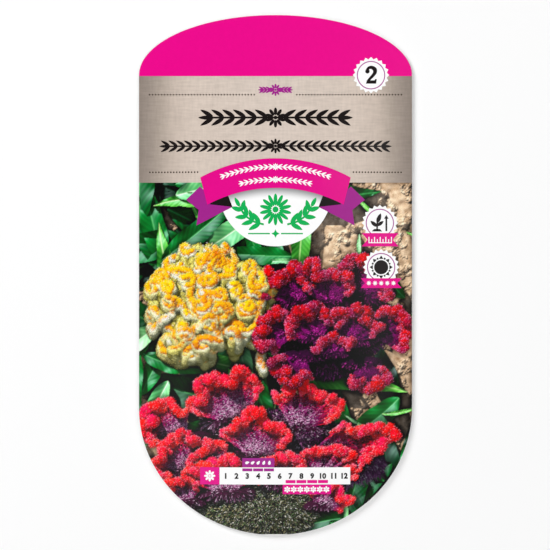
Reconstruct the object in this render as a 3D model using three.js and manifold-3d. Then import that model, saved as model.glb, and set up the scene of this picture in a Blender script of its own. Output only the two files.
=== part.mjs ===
// A flower-seed packet: a flat pouch of two die-cut sheets with an arched head and a round foot,
// sealed together all round, with a barrier sachet of seeds inside and its printing on the front.
// Millimetres. The packet lies on its back on z = 0, its front looks up +Z and its head points to +Y.
// The origin is under the middle of the packet, on the surface that it lies on.

import * as THREE from "three";
import { mergeVertices } from "three/addons/utils/BufferGeometryUtils.js";
import Module from "manifold-3d";

const wasm = await Module();
wasm.setup();

// The die-cut outline: straight sides between a half ellipse at the head and one at the foot
const WIDTH = 84;
const HEIGHT = 160;
const HEAD_RISE = 18.5;
const FOOT_DROP = 39;
const SIDE_TOP = HEIGHT / 2 - HEAD_RISE;
const SIDE_FOOT = -HEIGHT / 2 + FOOT_DROP;

// The two sheets, the film that seals them, and how far each sheet swells over the pocket
const SHEET = 0.3;
const SEAL_FILM = 0.1;
const SEAL_WIDTH = 5;
const BACK_SWELL = 1.25;
const BACK_REST = 1;
const FRONT_SWELL = 1.6;
const POCKET_TOP = 56;
const POCKET_FULL_TO = 30;
const SEAM_GAP = 0.02;
const BACK_FACE = BACK_REST + SHEET;
const SEAL_TOP = BACK_FACE + SEAM_GAP + SEAL_FILM;
const FRONT_UNDER = SEAL_TOP + SEAM_GAP;
const FRONT_TOP = FRONT_UNDER + SHEET;

// The grid that both sheets and every layer of ink share, so that they nest without touching
const HEAD_ROWS = 7;
const SIDE_ROWS = 11;
const FOOT_ROWS = 8;
const HALF_COLUMNS = 6;

// Printing, in layers one above the other. Real ink is far thinner than this.
const INK = 0.05;
const INK_STEP = 0.07;
const HEADER_FOOT = 61.2;
const LABEL_FOOT = 28.4;

// The sachet inside and its seeds
const SACHET_WIDTH = 46;
const SACHET_HEIGHT = 70;
const SACHET_CENTRE = -9;
const SACHET_FLOOR = 0.57;
const SACHET_FOIL = 0.12;
const SACHET_SEAL = 5;
const SACHET_SWELL = 1.1;
const SEED_RADIUS = 0.78;
const SEED_HALF_HEIGHT = 0.36;
const SEED_PITCH = 1.34;
const SEED_PATCH = [5, 3.6];
const SEED_PATCH_CENTRE = -22;
const SEED_SIDES = 6;

const COLOUR = {
  paper: 0xf4f1ea,
  film: 0xe9e6df,
  foil: 0xc9ccd0,
  seed: 0x17120f,
  pink: 0xed008c,
  kraft: 0xdacabd,
  inkBlack: 0x231f20,
  purple: 0xa2238c,
  white: 0xfdfdfd,
  green: 0x11b156,
  shade: 0x1c4a2a,
  soil: 0xad9a81,
  leaf: 0x3f8a3c,
  yellowFlank: 0xd8cf9a,
  yellowCrest: 0xeeb02c,
  crimsonFlank: 0x4a0a33,
  crimsonCrest: 0xb5123e,
  coralFlank: 0x7c2c63,
  coralCrest: 0xf0423f,
};

const packet = new THREE.Group();

// Small tools

function seededRandom(seed) {
  let state = seed >>> 0;
  return () => {
    state = (Math.imul(state, 1664525) + 1013904223) >>> 0;
    return state / 4294967296;
  };
}

function solidOf(geometry) {
  const plain = geometry.clone();
  plain.deleteAttribute("normal");
  plain.deleteAttribute("uv");
  const merged = mergeVertices(plain, 1e-4);
  return new wasm.Manifold(
    new wasm.Mesh({
      numProp: 3,
      vertProperties: new Float32Array(merged.attributes.position.array),
      triVerts: new Uint32Array(merged.index.array),
    }),
  );
}

function geometryOf(solid) {
  const mesh = solid.getMesh();
  const geometry = new THREE.BufferGeometry();
  geometry.setAttribute("position", new THREE.BufferAttribute(mesh.vertProperties.slice(), 3));
  geometry.setIndex(new THREE.BufferAttribute(mesh.triVerts.slice(), 1));
  geometry.computeVertexNormals();
  return geometry;
}

function unionOf(solids) {
  return solids.reduce((whole, next) => whole.add(next));
}

function largestBodyOf(solid) {
  return solid.decompose().reduce((best, next) => (next.volume() > best.volume() ? next : best));
}

function addPiece(name, geometry, color, roughness = 0.45, metalness = 0) {
  const material = new THREE.MeshStandardMaterial({ color, roughness, metalness });
  const piece = new THREE.Mesh(geometry, material);
  piece.name = name;
  packet.add(piece);
  return piece;
}

// The outline, and how full the pocket is at a point: 0 at the seal and 1 over its middle

function halfWidthAt(y) {
  const headShare = Math.max(0, y - SIDE_TOP) / HEAD_RISE;
  const footShare = Math.max(0, SIDE_FOOT - y) / FOOT_DROP;
  return (WIDTH / 2) * Math.sqrt(Math.max(0, 1 - headShare ** 2 - footShare ** 2));
}

function fullnessAt(x, y) {
  const across = x / (WIDTH / 2 - SEAL_WIDTH);
  const towardsFoot = Math.max(0, SIDE_FOOT - y) / (FOOT_DROP - SEAL_WIDTH);
  const towardsHead = Math.max(0, y - POCKET_FULL_TO) / (POCKET_TOP - POCKET_FULL_TO);
  return Math.max(0, 1 - across ** 2 - towardsFoot ** 2) * Math.max(0, 1 - towardsHead ** 2);
}

const frontTopAt = (x, y) => FRONT_TOP + FRONT_SWELL * fullnessAt(x, y);
const backUnderAt = (x, y) => BACK_REST - Math.min(BACK_REST, BACK_SWELL * fullnessAt(x, y));

function rowHeights() {
  const heights = [];
  for (let i = 0; i < FOOT_ROWS; i++) {
    heights.push(SIDE_FOOT - FOOT_DROP * Math.cos(((i / FOOT_ROWS) * Math.PI) / 2));
  }
  for (let i = 0; i < SIDE_ROWS; i++) {
    heights.push(SIDE_FOOT + ((SIDE_TOP - SIDE_FOOT) * i) / SIDE_ROWS);
  }
  for (let i = 0; i <= HEAD_ROWS; i++) {
    heights.push(SIDE_TOP + HEAD_RISE * Math.sin(((i / HEAD_ROWS) * Math.PI) / 2));
  }
  return heights;
}

// A closed sheet over the whole outline, between two heights that are functions of x and y.
// Rows run across the packet, and the first and last of them shrink to the outline's two tips.
function sheetGeometry(under, over) {
  const rows = rowHeights();
  const columns = 2 * HALF_COLUMNS;
  const last = rows.length - 1;
  const positions = [];
  const ids = [];
  const idOf = (side, row, column) => {
    const tip = row === 0 || row === last;
    return ids[side][row][tip ? 0 : column];
  };
  [under, over].forEach((heightAt, side) => {
    ids[side] = rows.map((y, row) => {
      const tip = row === 0 || row === last;
      const count = tip ? 1 : columns + 1;
      return Array.from({ length: count }, (_, column) => {
        const x = tip ? 0 : halfWidthAt(y) * (column / HALF_COLUMNS - 1);
        positions.push(x, y, heightAt(x, y));
        return positions.length / 3 - 1;
      });
    });
  });
  const index = [];
  const face = (a, b, c) => {
    if (a !== b && b !== c && c !== a) index.push(a, b, c);
  };
  for (let row = 0; row < last; row++) {
    for (let column = 0; column < columns; column++) {
      const leansRight = column < HALF_COLUMNS;
      for (const side of [0, 1]) {
        const a = idOf(side, row, column);
        const b = idOf(side, row, column + 1);
        const c = idOf(side, row + 1, column + 1);
        const d = idOf(side, row + 1, column);
        const halves = leansRight ? [[a, b, c], [a, c, d]] : [[a, b, d], [b, c, d]];
        for (const [p, q, r] of halves) side ? face(p, q, r) : face(p, r, q);
      }
    }
    for (const [column, turned] of [[columns, false], [0, true]]) {
      const a = idOf(0, row, column);
      const b = idOf(0, row + 1, column);
      const c = idOf(1, row + 1, column);
      const d = idOf(1, row, column);
      for (const [p, q, r] of [[a, b, c], [a, c, d]]) turned ? face(p, r, q) : face(p, q, r);
    }
  }
  const geometry = new THREE.BufferGeometry();
  geometry.setAttribute("position", new THREE.Float32BufferAttribute(positions, 3));
  geometry.setIndex(index);
  geometry.computeVertexNormals();
  return geometry;
}

function outlineShape(inset) {
  const halfWidth = WIDTH / 2 - inset;
  const shape = new THREE.Shape();
  shape.moveTo(halfWidth, SIDE_FOOT);
  shape.lineTo(halfWidth, SIDE_TOP);
  shape.absellipse(0, SIDE_TOP, halfWidth, HEAD_RISE - inset, 0, Math.PI, false);
  shape.lineTo(-halfWidth, SIDE_FOOT);
  shape.absellipse(0, SIDE_FOOT, halfWidth, FOOT_DROP - inset, Math.PI, 2 * Math.PI, false);
  return shape;
}

function plateGeometry(shape, depth, floor, curveSegments = 24) {
  const geometry = new THREE.ExtrudeGeometry(shape, { depth, bevelEnabled: false, curveSegments });
  return geometry.translate(0, 0, floor);
}

// The two sheets and the ring of film that joins them

function addSheets() {
  const back = sheetGeometry(backUnderAt, (x, y) => backUnderAt(x, y) + SHEET);
  addPiece("back_sheet", back, COLOUR.paper, 0.6);

  const seal = outlineShape(0.6);
  const pocketHalf = WIDTH / 2 - SEAL_WIDTH;
  const pocket = new THREE.Path();
  pocket.moveTo(pocketHalf, POCKET_TOP);
  pocket.lineTo(pocketHalf, SIDE_FOOT);
  pocket.absellipse(0, SIDE_FOOT, pocketHalf, FOOT_DROP - SEAL_WIDTH, 0, -Math.PI, true);
  pocket.lineTo(-pocketHalf, POCKET_TOP);
  pocket.lineTo(pocketHalf, POCKET_TOP);
  seal.holes.push(pocket);
  addPiece("seal_film", plateGeometry(seal, SEAL_FILM, BACK_FACE + SEAM_GAP, 20), COLOUR.film, 0.5);

  const front = sheetGeometry((x, y) => frontTopAt(x, y) - SHEET, frontTopAt);
  addPiece("front_sheet", front, COLOUR.paper, 0.35);
}

// The barrier sachet: a flat back foil and a front foil that swells over the seeds

function sachetCornerShape() {
  const [w, h, r] = [SACHET_WIDTH / 2, SACHET_HEIGHT / 2, 2];
  const shape = new THREE.Shape();
  shape.moveTo(-w + r, -h);
  shape.lineTo(w - r, -h);
  shape.absarc(w - r, -h + r, r, -Math.PI / 2, 0, false);
  shape.lineTo(w, h - r);
  shape.absarc(w - r, h - r, r, 0, Math.PI / 2, false);
  shape.lineTo(-w + r, h);
  shape.absarc(-w + r, h - r, r, Math.PI / 2, Math.PI, false);
  shape.lineTo(-w, -h + r);
  shape.absarc(-w + r, -h + r, r, Math.PI, 1.5 * Math.PI, false);
  return shape;
}

function swollenFoilGeometry(floor) {
  const steps = 12;
  const cell = (i, size) => (i / steps - 0.5) * size;
  const swell = (x, y) => {
    const across = x / (SACHET_WIDTH / 2 - SACHET_SEAL);
    const along = y / (SACHET_HEIGHT / 2 - SACHET_SEAL);
    return SACHET_SWELL * Math.max(0, 1 - across ** 4) * Math.max(0, 1 - along ** 4);
  };
  const positions = [];
  for (const lift of [0, SACHET_FOIL]) {
    for (let row = 0; row <= steps; row++) {
      for (let column = 0; column <= steps; column++) {
        const x = cell(column, SACHET_WIDTH);
        const y = cell(row, SACHET_HEIGHT);
        positions.push(x, y + SACHET_CENTRE, floor + swell(x, y) + lift);
      }
    }
  }
  const id = (side, row, column) => (side * (steps + 1) + row) * (steps + 1) + column;
  const index = [];
  const quad = (a, b, c, d) => index.push(a, b, c, a, c, d);
  for (let i = 0; i < steps; i++) {
    for (let j = 0; j < steps; j++) {
      quad(id(1, i, j), id(1, i, j + 1), id(1, i + 1, j + 1), id(1, i + 1, j));
      quad(id(0, i, j), id(0, i + 1, j), id(0, i + 1, j + 1), id(0, i, j + 1));
    }
    quad(id(0, 0, i), id(0, 0, i + 1), id(1, 0, i + 1), id(1, 0, i));
    quad(id(0, steps, i + 1), id(0, steps, i), id(1, steps, i), id(1, steps, i + 1));
    quad(id(0, i + 1, 0), id(0, i, 0), id(1, i, 0), id(1, i + 1, 0));
    quad(id(0, i, steps), id(0, i + 1, steps), id(1, i + 1, steps), id(1, i, steps));
  }
  const geometry = new THREE.BufferGeometry();
  geometry.setAttribute("position", new THREE.Float32BufferAttribute(positions, 3));
  geometry.setIndex(index);
  geometry.computeVertexNormals();
  return geometry;
}

// One seed is a thin lens: a ring of corners with a point above and one below.
function seedGeometry(x, y, z, turn) {
  const positions = [x, y, z - SEED_HALF_HEIGHT, x, y, z + SEED_HALF_HEIGHT];
  const index = [];
  for (let i = 0; i < SEED_SIDES; i++) {
    const angle = turn + (i / SEED_SIDES) * 2 * Math.PI;
    positions.push(x + SEED_RADIUS * Math.cos(angle), y + SEED_RADIUS * Math.sin(angle), z);
    const [here, next] = [2 + i, 2 + ((i + 1) % SEED_SIDES)];
    index.push(0, next, here, 1, here, next);
  }
  const geometry = new THREE.BufferGeometry();
  geometry.setAttribute("position", new THREE.Float32BufferAttribute(positions, 3));
  geometry.setIndex(index);
  return geometry;
}

// The seeds lie one deep in a patch, near enough to each other to hold together as one body.
function seedPatch(floor) {
  const random = seededRandom(7);
  const rowPitch = SEED_PITCH * Math.sin(Math.PI / 3);
  const [reachX, reachY] = SEED_PATCH;
  const seeds = [];
  for (let row = -6; row <= 6; row++) {
    for (let column = -8; column <= 8; column++) {
      const x = (column + (row & 1 ? 0.5 : 0)) * SEED_PITCH;
      const y = row * rowPitch;
      const [tilt, turn] = [random(), random()];
      if ((x / reachX) ** 2 + (y / reachY) ** 2 > 1) continue;
      const z = floor + SEED_HALF_HEIGHT + 0.02 + 0.06 * tilt;
      seeds.push(solidOf(seedGeometry(x, y + SEED_PATCH_CENTRE, z, turn * Math.PI)));
    }
  }
  return largestBodyOf(unionOf(seeds));
}

function addSachet() {
  const back = plateGeometry(sachetCornerShape(), SACHET_FOIL, SACHET_FLOOR, 4);
  addPiece("sachet_back", back.translate(0, SACHET_CENTRE, 0), COLOUR.foil, 0.35, 0.8);
  const seam = SACHET_FLOOR + SACHET_FOIL + SEAM_GAP;
  const front = solidOf(swollenFoilGeometry(seam));
  const corners = solidOf(plateGeometry(sachetCornerShape(), 4, 0, 4).translate(0, SACHET_CENTRE, 0));
  addPiece("sachet_front", geometryOf(front.intersect(corners)), COLOUR.foil, 0.35, 0.8);
  addPiece("seeds", geometryOf(seedPatch(SACHET_FLOOR + SACHET_FOIL)), COLOUR.seed, 0.25);
}

// Flat printed figures, each a closed outline in the packet's own x and y

function polygon(points) {
  return new THREE.Shape(points.map(([x, y]) => new THREE.Vector2(x, y)));
}

const mirrored = (points) => points.map(([x, y]) => [-x, y]).reverse();

function rectangle(left, right, foot, top) {
  return polygon([[left, foot], [right, foot], [right, top], [left, top]]);
}

function disc(x, y, radius, hole = 0) {
  const shape = new THREE.Shape();
  shape.absarc(x, y, radius, 0, 2 * Math.PI, false);
  if (hole) {
    const inner = new THREE.Path();
    inner.absarc(x, y, hole, 0, 2 * Math.PI, true);
    shape.holes.push(inner);
  }
  return shape;
}

// Points that step round a centre and swing between an outer and an inner radius
function starPoints(x, y, outer, inner, count) {
  return Array.from({ length: 2 * count }, (_, i) => {
    const angle = (i / count) * Math.PI + Math.PI / 2;
    const radius = i & 1 ? inner : outer;
    return [x + radius * Math.cos(angle), y + radius * Math.sin(angle)];
  });
}

// A stroke of even width along a line of points
function stroke(points, width) {
  const side = (sign) =>
    points.map(([x, y], i) => {
      const [fromX, fromY] = points[Math.max(0, i - 1)];
      const [toX, toY] = points[Math.min(points.length - 1, i + 1)];
      const length = Math.hypot(toX - fromX, toY - fromY);
      const reach = (sign * width) / 2 / length;
      return [x - (toY - fromY) * reach, y + (toX - fromX) * reach];
    });
  return polygon([...side(-1), ...side(1).reverse()]);
}

function swallowtail(left, right, foot, top, notch) {
  const middle = (foot + top) / 2;
  return polygon([
    [left, foot],
    [right, foot],
    [right - notch, middle],
    [right, top],
    [left, top],
    [left + notch, middle],
  ]);
}

// A lance-shaped leaf from its root at x, y, with its midrib bent to one side
function leafBlade(x, y, angle, length, width, bend = 0, steps = 4) {
  const [cos, sin] = [Math.cos(angle), Math.sin(angle)];
  const edge = (side) =>
    Array.from({ length: steps + 1 }, (_, i) => {
      const t = i / steps;
      const along = length * t;
      const across = bend * t * t * length + side * (width / 2) * Math.sin(Math.PI * t ** 0.8);
      return [x + along * cos - across * sin, y + along * sin + across * cos];
    });
  return polygon([...edge(-1).slice(0, -1), ...edge(1).reverse().slice(0, -1)]);
}

// Leaves that fan out from one root, each a little different
function leafyShoot({ x, y, from, to, count, length, width, seed }) {
  const random = seededRandom(seed);
  const leaves = Array.from({ length: count }, (_, i) => {
    const degrees = from + ((to - from) * i) / (count - 1) + 10 * (random() - 0.5);
    const reach = length * (0.8 + 0.35 * random());
    return leafBlade(x, y, (degrees * Math.PI) / 180, reach, width, 0.4 * (random() - 0.5), 7);
  });
  return [disc(x, y, width / 3), ...leaves];
}

// A cockscomb head from the front: a fan whose rim is thrown into folds. The flank is the whole
// fan with its stalk, and the crest is the band along the rim, with a tongue down each fold.
function cockscomb({ x, y, reach, tall, folds, phase }) {
  const steps = 6 * folds;
  const [start, end] = [-0.3 * Math.PI, 1.3 * Math.PI];
  const foldAt = (t, shift) => Math.sin(2 * Math.PI * folds * t + phase + shift);
  const rimAt = (t) => 0.94 + 0.06 * foldAt(t, 0);
  const tongueAt = (t) => 0.74 - 0.3 * Math.max(0, foldAt(t, 2.4)) ** 2;
  const ring = (shareAt) =>
    Array.from({ length: steps + 1 }, (_, i) => {
      const t = i / steps;
      const angle = end + (start - end) * t;
      return [x + reach * shareAt(t) * Math.cos(angle), y + tall * shareAt(t) * Math.sin(angle)];
    });
  const rim = ring(rimAt);
  const stalk = [[x + 0.15 * reach, y - 1.1 * tall], [x - 0.15 * reach, y - 1.1 * tall]];
  return { flank: polygon([...rim, ...stalk]), crest: polygon([...rim, ...ring(tongueAt).reverse()]) };
}

// A printer's garland along a straight or arched line: a thin stem that carries pairs of leaves
function garland({ y, half, pairs, leaf, width, stem, arch = 0 }) {
  const angleAt = (s) => (arch ? -s / arch : 0);
  const pointAt = (s) => (arch ? [arch * Math.sin(s / arch), y - arch * (1 - Math.cos(s / arch))] : [s, y]);
  const stemPoints = Array.from({ length: 13 }, (_, i) => pointAt(half * (i / 6 - 1)));
  const shapes = [stroke(stemPoints, stem)];
  for (let i = -pairs; i <= pairs; i++) {
    const s = (i / pairs) * (half - leaf * 0.5);
    const lean = i < 0 ? Math.PI : 0;
    for (const side of [-1, 1]) {
      const angle = i === 0 ? (side * Math.PI) / 2 : lean + side * 0.95;
      shapes.push(leafBlade(...pointAt(s), angleAt(s) + angle, leaf, width, 0, 3));
    }
  }
  return shapes;
}

// The printed layers. Each figure is the stock of its level, cut by the figure's prism.

const stocks = new Map();

function stockAt(level) {
  if (!stocks.has(level)) {
    const under = (x, y) => frontTopAt(x, y) + SEAM_GAP + level * INK_STEP;
    stocks.set(level, solidOf(sheetGeometry(under, (x, y) => under(x, y) + INK)));
  }
  return stocks.get(level);
}

function prismOf(shapes, curveSegments) {
  return unionOf(shapes.map((shape) => solidOf(plateGeometry(shape, 8, 0, curveSegments))));
}

function addInk(name, level, shapes, color, { curveSegments = 8, within = null } = {}) {
  const solid = stockAt(level).intersect(prismOf(shapes, curveSegments));
  const kept = within ? solid.intersect(within) : solid;
  addPiece(name, geometryOf(largestBodyOf(kept)), color);
}

function addHeaderAndLabel() {
  addInk("ink_header", 0, [rectangle(-50, 50, HEADER_FOOT, 90)], COLOUR.pink);
  addInk("ink_label_band", 0, [rectangle(-50, 50, LABEL_FOOT, HEADER_FOOT)], COLOUR.kraft);
  const title = { y: 48.4, half: 23.8, pairs: 4, leaf: 3.4, width: 2, stem: 0.5 };
  const subtitle = { y: 39.6, half: 35.8, pairs: 8, leaf: 2.5, width: 1.4, stem: 0.4 };
  const topper = { y: 57, half: 5.3, pairs: 1, leaf: 2.1, width: 1.5, stem: 0.4 };
  addInk("ink_title_garland", 1, garland(title), COLOUR.inkBlack);
  addInk("ink_subtitle_garland", 1, garland(subtitle), COLOUR.inkBlack);
  addInk("ink_topper_garland", 1, garland(topper), COLOUR.purple);
  const rules = {
    upper_left: [-39, -6.3, 55.5],
    upper_right: [6.3, 39, 55.5],
    lower_left: [-39, -23.6, 31.6],
    lower_right: [23.6, 39, 31.6],
  };
  for (const [place, [left, right, y]] of Object.entries(rules)) {
    addInk(`ink_rule_${place}`, 1, [rectangle(left, right, y - 0.17, y + 0.17)], COLOUR.inkBlack);
  }
}

// The picture: three heads among leaves, over deep shade and a corner of bare soil
function addPicture() {
  const area = rectangle(-50, 50, -90, LABEL_FOOT - SEAM_GAP);
  const within = prismOf([area]);
  addInk("ink_picture_ground", 0, [area], COLOUR.shade);
  const soil = [[13, 40], [60, 40], [60, -32], [40, -12], [30, 2], [18, 8], [14, 20]];
  addInk("ink_soil", 1, [polygon(soil)], COLOUR.soil, { within });
  const shoots = {
    left: { x: -38, y: 14, from: -60, to: 110, count: 5, length: 15, width: 6, seed: 3 },
    middle: { x: -2, y: -22, from: 20, to: 160, count: 5, length: 24, width: 7, seed: 4 },
    foot_left: { x: -29, y: -38, from: 110, to: 320, count: 7, length: 17, width: 7, seed: 5 },
    foot_right: { x: 29, y: -41, from: -130, to: 80, count: 7, length: 19, width: 8, seed: 9 },
  };
  for (const [place, shoot] of Object.entries(shoots)) {
    addInk(`ink_leaves_${place}`, place === "middle" ? 2 : 1, leafyShoot(shoot), COLOUR.leaf, { within });
  }
  const heads = {
    yellow: { x: -20.5, y: -8, reach: 19.5, tall: 17, folds: 9, phase: 0.4, level: 3 },
    crimson: { x: 19, y: -16, reach: 20.5, tall: 19, folds: 8, phase: 1.7, level: 3 },
    coral: { x: 0, y: -52, reach: 37, tall: 22, folds: 11, phase: 2.6, level: 5 },
  };
  for (const [kind, head] of Object.entries(heads)) {
    const { flank, crest } = cockscomb(head);
    addInk(`ink_${kind}_flank`, head.level, [flank], COLOUR[`${kind}Flank`], { within });
    addInk(`ink_${kind}_crest`, head.level + 1, [crest], COLOUR[`${kind}Crest`], { within });
  }
}

// The arched ribbon over the round medallion, with a tail and a dark fold at each end

const RIBBON = { top: { chord: 23.1, end: 29.95, crown: 35.8 }, foot: { chord: 20.95, end: 21.6, crown: 26.7 } };
const TAIL = [[-23.2, 27.2], [-27.5, 23.1], [-23.6, 20], [-24.3, 15.2], [-13.2, 20.9], [-20, 24.4]];
const FOLD = [[-20.1, 21.7], [-13.2, 20.9], [-13.6, 25], [-19, 25]];
const MEDALLION = { y: 25.4, radius: 16.6, cutAt: 27.5 };

function arcOver({ chord, end, crown }) {
  const rise = crown - end;
  const radius = (chord ** 2 + rise ** 2) / (2 * rise);
  return { radius, centre: crown - radius, half: Math.asin(chord / radius) };
}

function ribbonShape() {
  const top = arcOver(RIBBON.top);
  const foot = arcOver(RIBBON.foot);
  const shape = new THREE.Shape();
  shape.absarc(0, top.centre, top.radius, Math.PI / 2 + top.half, Math.PI / 2 - top.half, true);
  shape.absarc(0, foot.centre, foot.radius, Math.PI / 2 - foot.half, Math.PI / 2 + foot.half, false);
  return shape;
}

function medallionShape() {
  const { y, radius, cutAt } = MEDALLION;
  const lean = Math.asin((cutAt - y) / radius);
  const shape = new THREE.Shape();
  shape.absarc(0, y, radius, lean, -Math.PI - lean, true);
  return shape;
}

function daisyShapes(x, y, reach, petals) {
  const blades = Array.from({ length: petals }, (_, i) => {
    return leafBlade(x, y, (i / petals) * 2 * Math.PI, reach, reach * 0.5);
  });
  return [disc(x, y, reach * 0.3), ...blades];
}

// A leafy spray that grows from the daisy's foot to one side and up
function sprayShapes(side) {
  const stem = [[0, 17], [3.6, 15.6], [6.6, 16.4], [9.4, 18.4], [11, 21]].map(([x, y]) => [side * x, y]);
  const shapes = [stroke(stem, 0.45)];
  for (let i = 1; i < stem.length; i++) {
    const angle = Math.atan2(stem[i][1] - stem[i - 1][1], stem[i][0] - stem[i - 1][0]);
    for (const lean of [-0.75, 0.75]) shapes.push(leafBlade(...stem[i], angle + lean, 3.2, 1.5, 0, 3));
  }
  return shapes;
}

function addEmblem() {
  addInk("ink_medallion", 2, [medallionShape()], COLOUR.white, { curveSegments: 18 });
  const emblem = [...daisyShapes(0, 20, 4.4, 9), ...sprayShapes(-1), ...sprayShapes(1)];
  addInk("ink_daisy", 3, emblem, COLOUR.green);
  const bud = polygon(starPoints(0, 12.7, 1.1, 0.6, 4));
  addInk("ink_medallion_rule", 3, [rectangle(-8, 8, 12.55, 12.85), bud], COLOUR.green);
  addInk("ink_tail_left", 3, [polygon(TAIL)], COLOUR.purple);
  addInk("ink_tail_right", 3, [polygon(mirrored(TAIL))], COLOUR.purple);
  addInk("ink_fold_left", 4, [polygon(FOLD)], COLOUR.inkBlack);
  addInk("ink_fold_right", 4, [polygon(mirrored(FOLD))], COLOUR.inkBlack);
  addInk("ink_ribbon", 5, [ribbonShape()], COLOUR.pink, { curveSegments: 16 });
  const upper = { y: 33.4, half: 17, pairs: 4, leaf: 1.5, width: 0.9, stem: 0.3, arch: 47 };
  const lower = { y: 29.2, half: 11, pairs: 3, leaf: 1.5, width: 0.9, stem: 0.3, arch: 46 };
  addInk("ink_ribbon_garland_upper", 6, garland(upper), COLOUR.white);
  addInk("ink_ribbon_garland_lower", 6, garland(lower), COLOUR.white);
}

// The three toothed badges, two of them with a small ribbon of their own

const BADGES = {
  number: { x: 29.4, y: 61.5, level: 1 },
  height: { x: 32.1, y: 16, level: 2, ribbon: [26.5, 37.9, 8.8, 12.9, 1.8] },
  sun: { x: 32.5, y: 2.4, level: 5, ribbon: [26.2, 38.8, -4, -1, 1.3] },
};
const BADGE = { tip: 5.55, valley: 5.05, teeth: 20, ring: 4.34, ringHole: 4.06 };

function numeralTwo(x, y) {
  const bowl = [[-1.25, 1.1], [-1, 1.8], [-0.3, 2.25], [0.5, 2.2], [1.1, 1.7], [1.15, 0.9], [0.7, 0.05]];
  const foot = [[-0.3, -1.05], [-1.3, -2.2]];
  const path = [...bowl, ...foot].map(([u, v]) => [x + u, y + v]);
  return [stroke(path, 0.8), rectangle(x - 1.6, x + 1.6, y - 2.6, y - 1.85)];
}

function sprout(x, y) {
  const leaves = [[0, -1.3, 2.6, 2.2, 1.2], [0, -1.1, 0.6, 2.2, 1.2], [0, 0.1, 2.2, 2.2, 1.2], [0, 0.1, 0.95, 2.3, 1.2]];
  const blades = leaves.map(([u, v, angle, length, width]) => leafBlade(x + u, y + v, angle, length, width));
  const stem = rectangle(x - 0.17, x + 0.17, y - 2.7, y + 0.6);
  const mound = polygon([[x - 1.4, y - 2.9], [x + 1.4, y - 2.9], [x + 0.5, y - 2.2], [x - 0.5, y - 2.2]]);
  return [stem, mound, ...blades];
}

function upArrow(x, foot, top) {
  const head = polygon([[x - 0.65, top - 1.3], [x + 0.65, top - 1.3], [x, top]]);
  return [rectangle(x - 0.2, x + 0.2, foot, top - 1), head];
}

function addBadges() {
  for (const [kind, { x, y, level, ribbon }] of Object.entries(BADGES)) {
    const edge = polygon(starPoints(x, y, BADGE.tip, BADGE.valley, BADGE.teeth));
    addInk(`ink_badge_${kind}`, level, [edge], COLOUR.white);
    addInk(`ink_badge_${kind}_ring`, level + 1, [disc(x, y, BADGE.ring, BADGE.ringHole)], COLOUR.purple, { curveSegments: 12 });
    if (ribbon) addInk(`ink_badge_${kind}_ribbon`, level + 2, [swallowtail(...ribbon)], COLOUR.pink);
  }
  const { number, height, sun } = BADGES;
  addInk("ink_numeral", number.level + 1, numeralTwo(number.x, number.y), COLOUR.inkBlack);
  addInk("ink_sprout", height.level + 1, sprout(height.x - 0.9, height.y + 0.6), COLOUR.inkBlack);
  addInk("ink_arrow", height.level + 1, upArrow(height.x + 1.9, height.y - 2.2, height.y + 2.5), COLOUR.inkBlack);
  const rays = polygon(starPoints(sun.x, sun.y, 3.4, 2, 8));
  addInk("ink_sun", sun.level + 1, [disc(sun.x, sun.y, 2.2), rays], COLOUR.inkBlack);
}

// The sowing calendar near the foot, with a tag over its sowing and under its flowering months
function addCalendar() {
  addInk("ink_calendar_strip", 7, [rectangle(-17.2, 23, -64.4, -59.1)], COLOUR.white);
  addInk("ink_calendar_end", 7, [rectangle(-23.2, -17.25, -64.4, -59.1)], COLOUR.pink);
  addInk("ink_sowing_tag", 7, [rectangle(-10.2, -0.35, -59.05, -56.2)], COLOUR.purple);
  addInk("ink_flowering_tag", 7, [rectangle(2.2, 17.05, -67.4, -64.45)], COLOUR.pink);
  addInk("ink_sowing_bar", 8, [rectangle(-10.2, -0.35, -60.3, -59.6)], COLOUR.purple);
  addInk("ink_flowering_bar", 8, [rectangle(3.1, 16.1, -64, -63.2)], COLOUR.pink);
}

addSheets();
addSachet();
addHeaderAndLabel();
addPicture();
addEmblem();
addBadges();
addCalendar();

export default packet;
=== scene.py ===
"""A flower-seed packet on its back: two laminated sheets sealed round a pocket, printed on the front
with a pink header, a kraft label band, a ribbon, badges, a sowing calendar and a picture of
cockscombs. The picture is painted here point by point from plain rules, as a small garden scene.
Lengths are in millimetres and turn into metres where a mesh is made."""

import math
from types import SimpleNamespace

import bpy
import numpy as np
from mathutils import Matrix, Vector
from mathutils.geometry import delaunay_2d_cdt


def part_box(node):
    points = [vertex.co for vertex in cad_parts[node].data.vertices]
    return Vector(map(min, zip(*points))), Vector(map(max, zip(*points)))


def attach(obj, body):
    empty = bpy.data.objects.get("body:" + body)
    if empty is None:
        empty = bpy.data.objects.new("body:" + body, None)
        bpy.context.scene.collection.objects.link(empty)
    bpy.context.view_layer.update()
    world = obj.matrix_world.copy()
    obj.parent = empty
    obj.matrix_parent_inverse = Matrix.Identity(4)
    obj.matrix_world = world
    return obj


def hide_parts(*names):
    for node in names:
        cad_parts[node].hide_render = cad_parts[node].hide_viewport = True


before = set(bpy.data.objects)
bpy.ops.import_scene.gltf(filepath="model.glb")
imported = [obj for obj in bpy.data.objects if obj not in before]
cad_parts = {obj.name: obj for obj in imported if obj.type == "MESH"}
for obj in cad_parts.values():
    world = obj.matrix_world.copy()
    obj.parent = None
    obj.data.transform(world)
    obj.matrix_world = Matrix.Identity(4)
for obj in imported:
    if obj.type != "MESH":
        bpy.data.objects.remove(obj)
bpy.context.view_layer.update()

MM = 0.001
FULL_TURN = 2 * math.pi


def box_of(node):
    low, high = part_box(node)
    return np.array(low) / MM, np.array(high) / MM


def ink_box(part):
    """Left, right, foot and top of a printed solid."""
    low, high = box_of("ink_" + part)
    return low[0], high[0], low[1], high[1]


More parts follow.
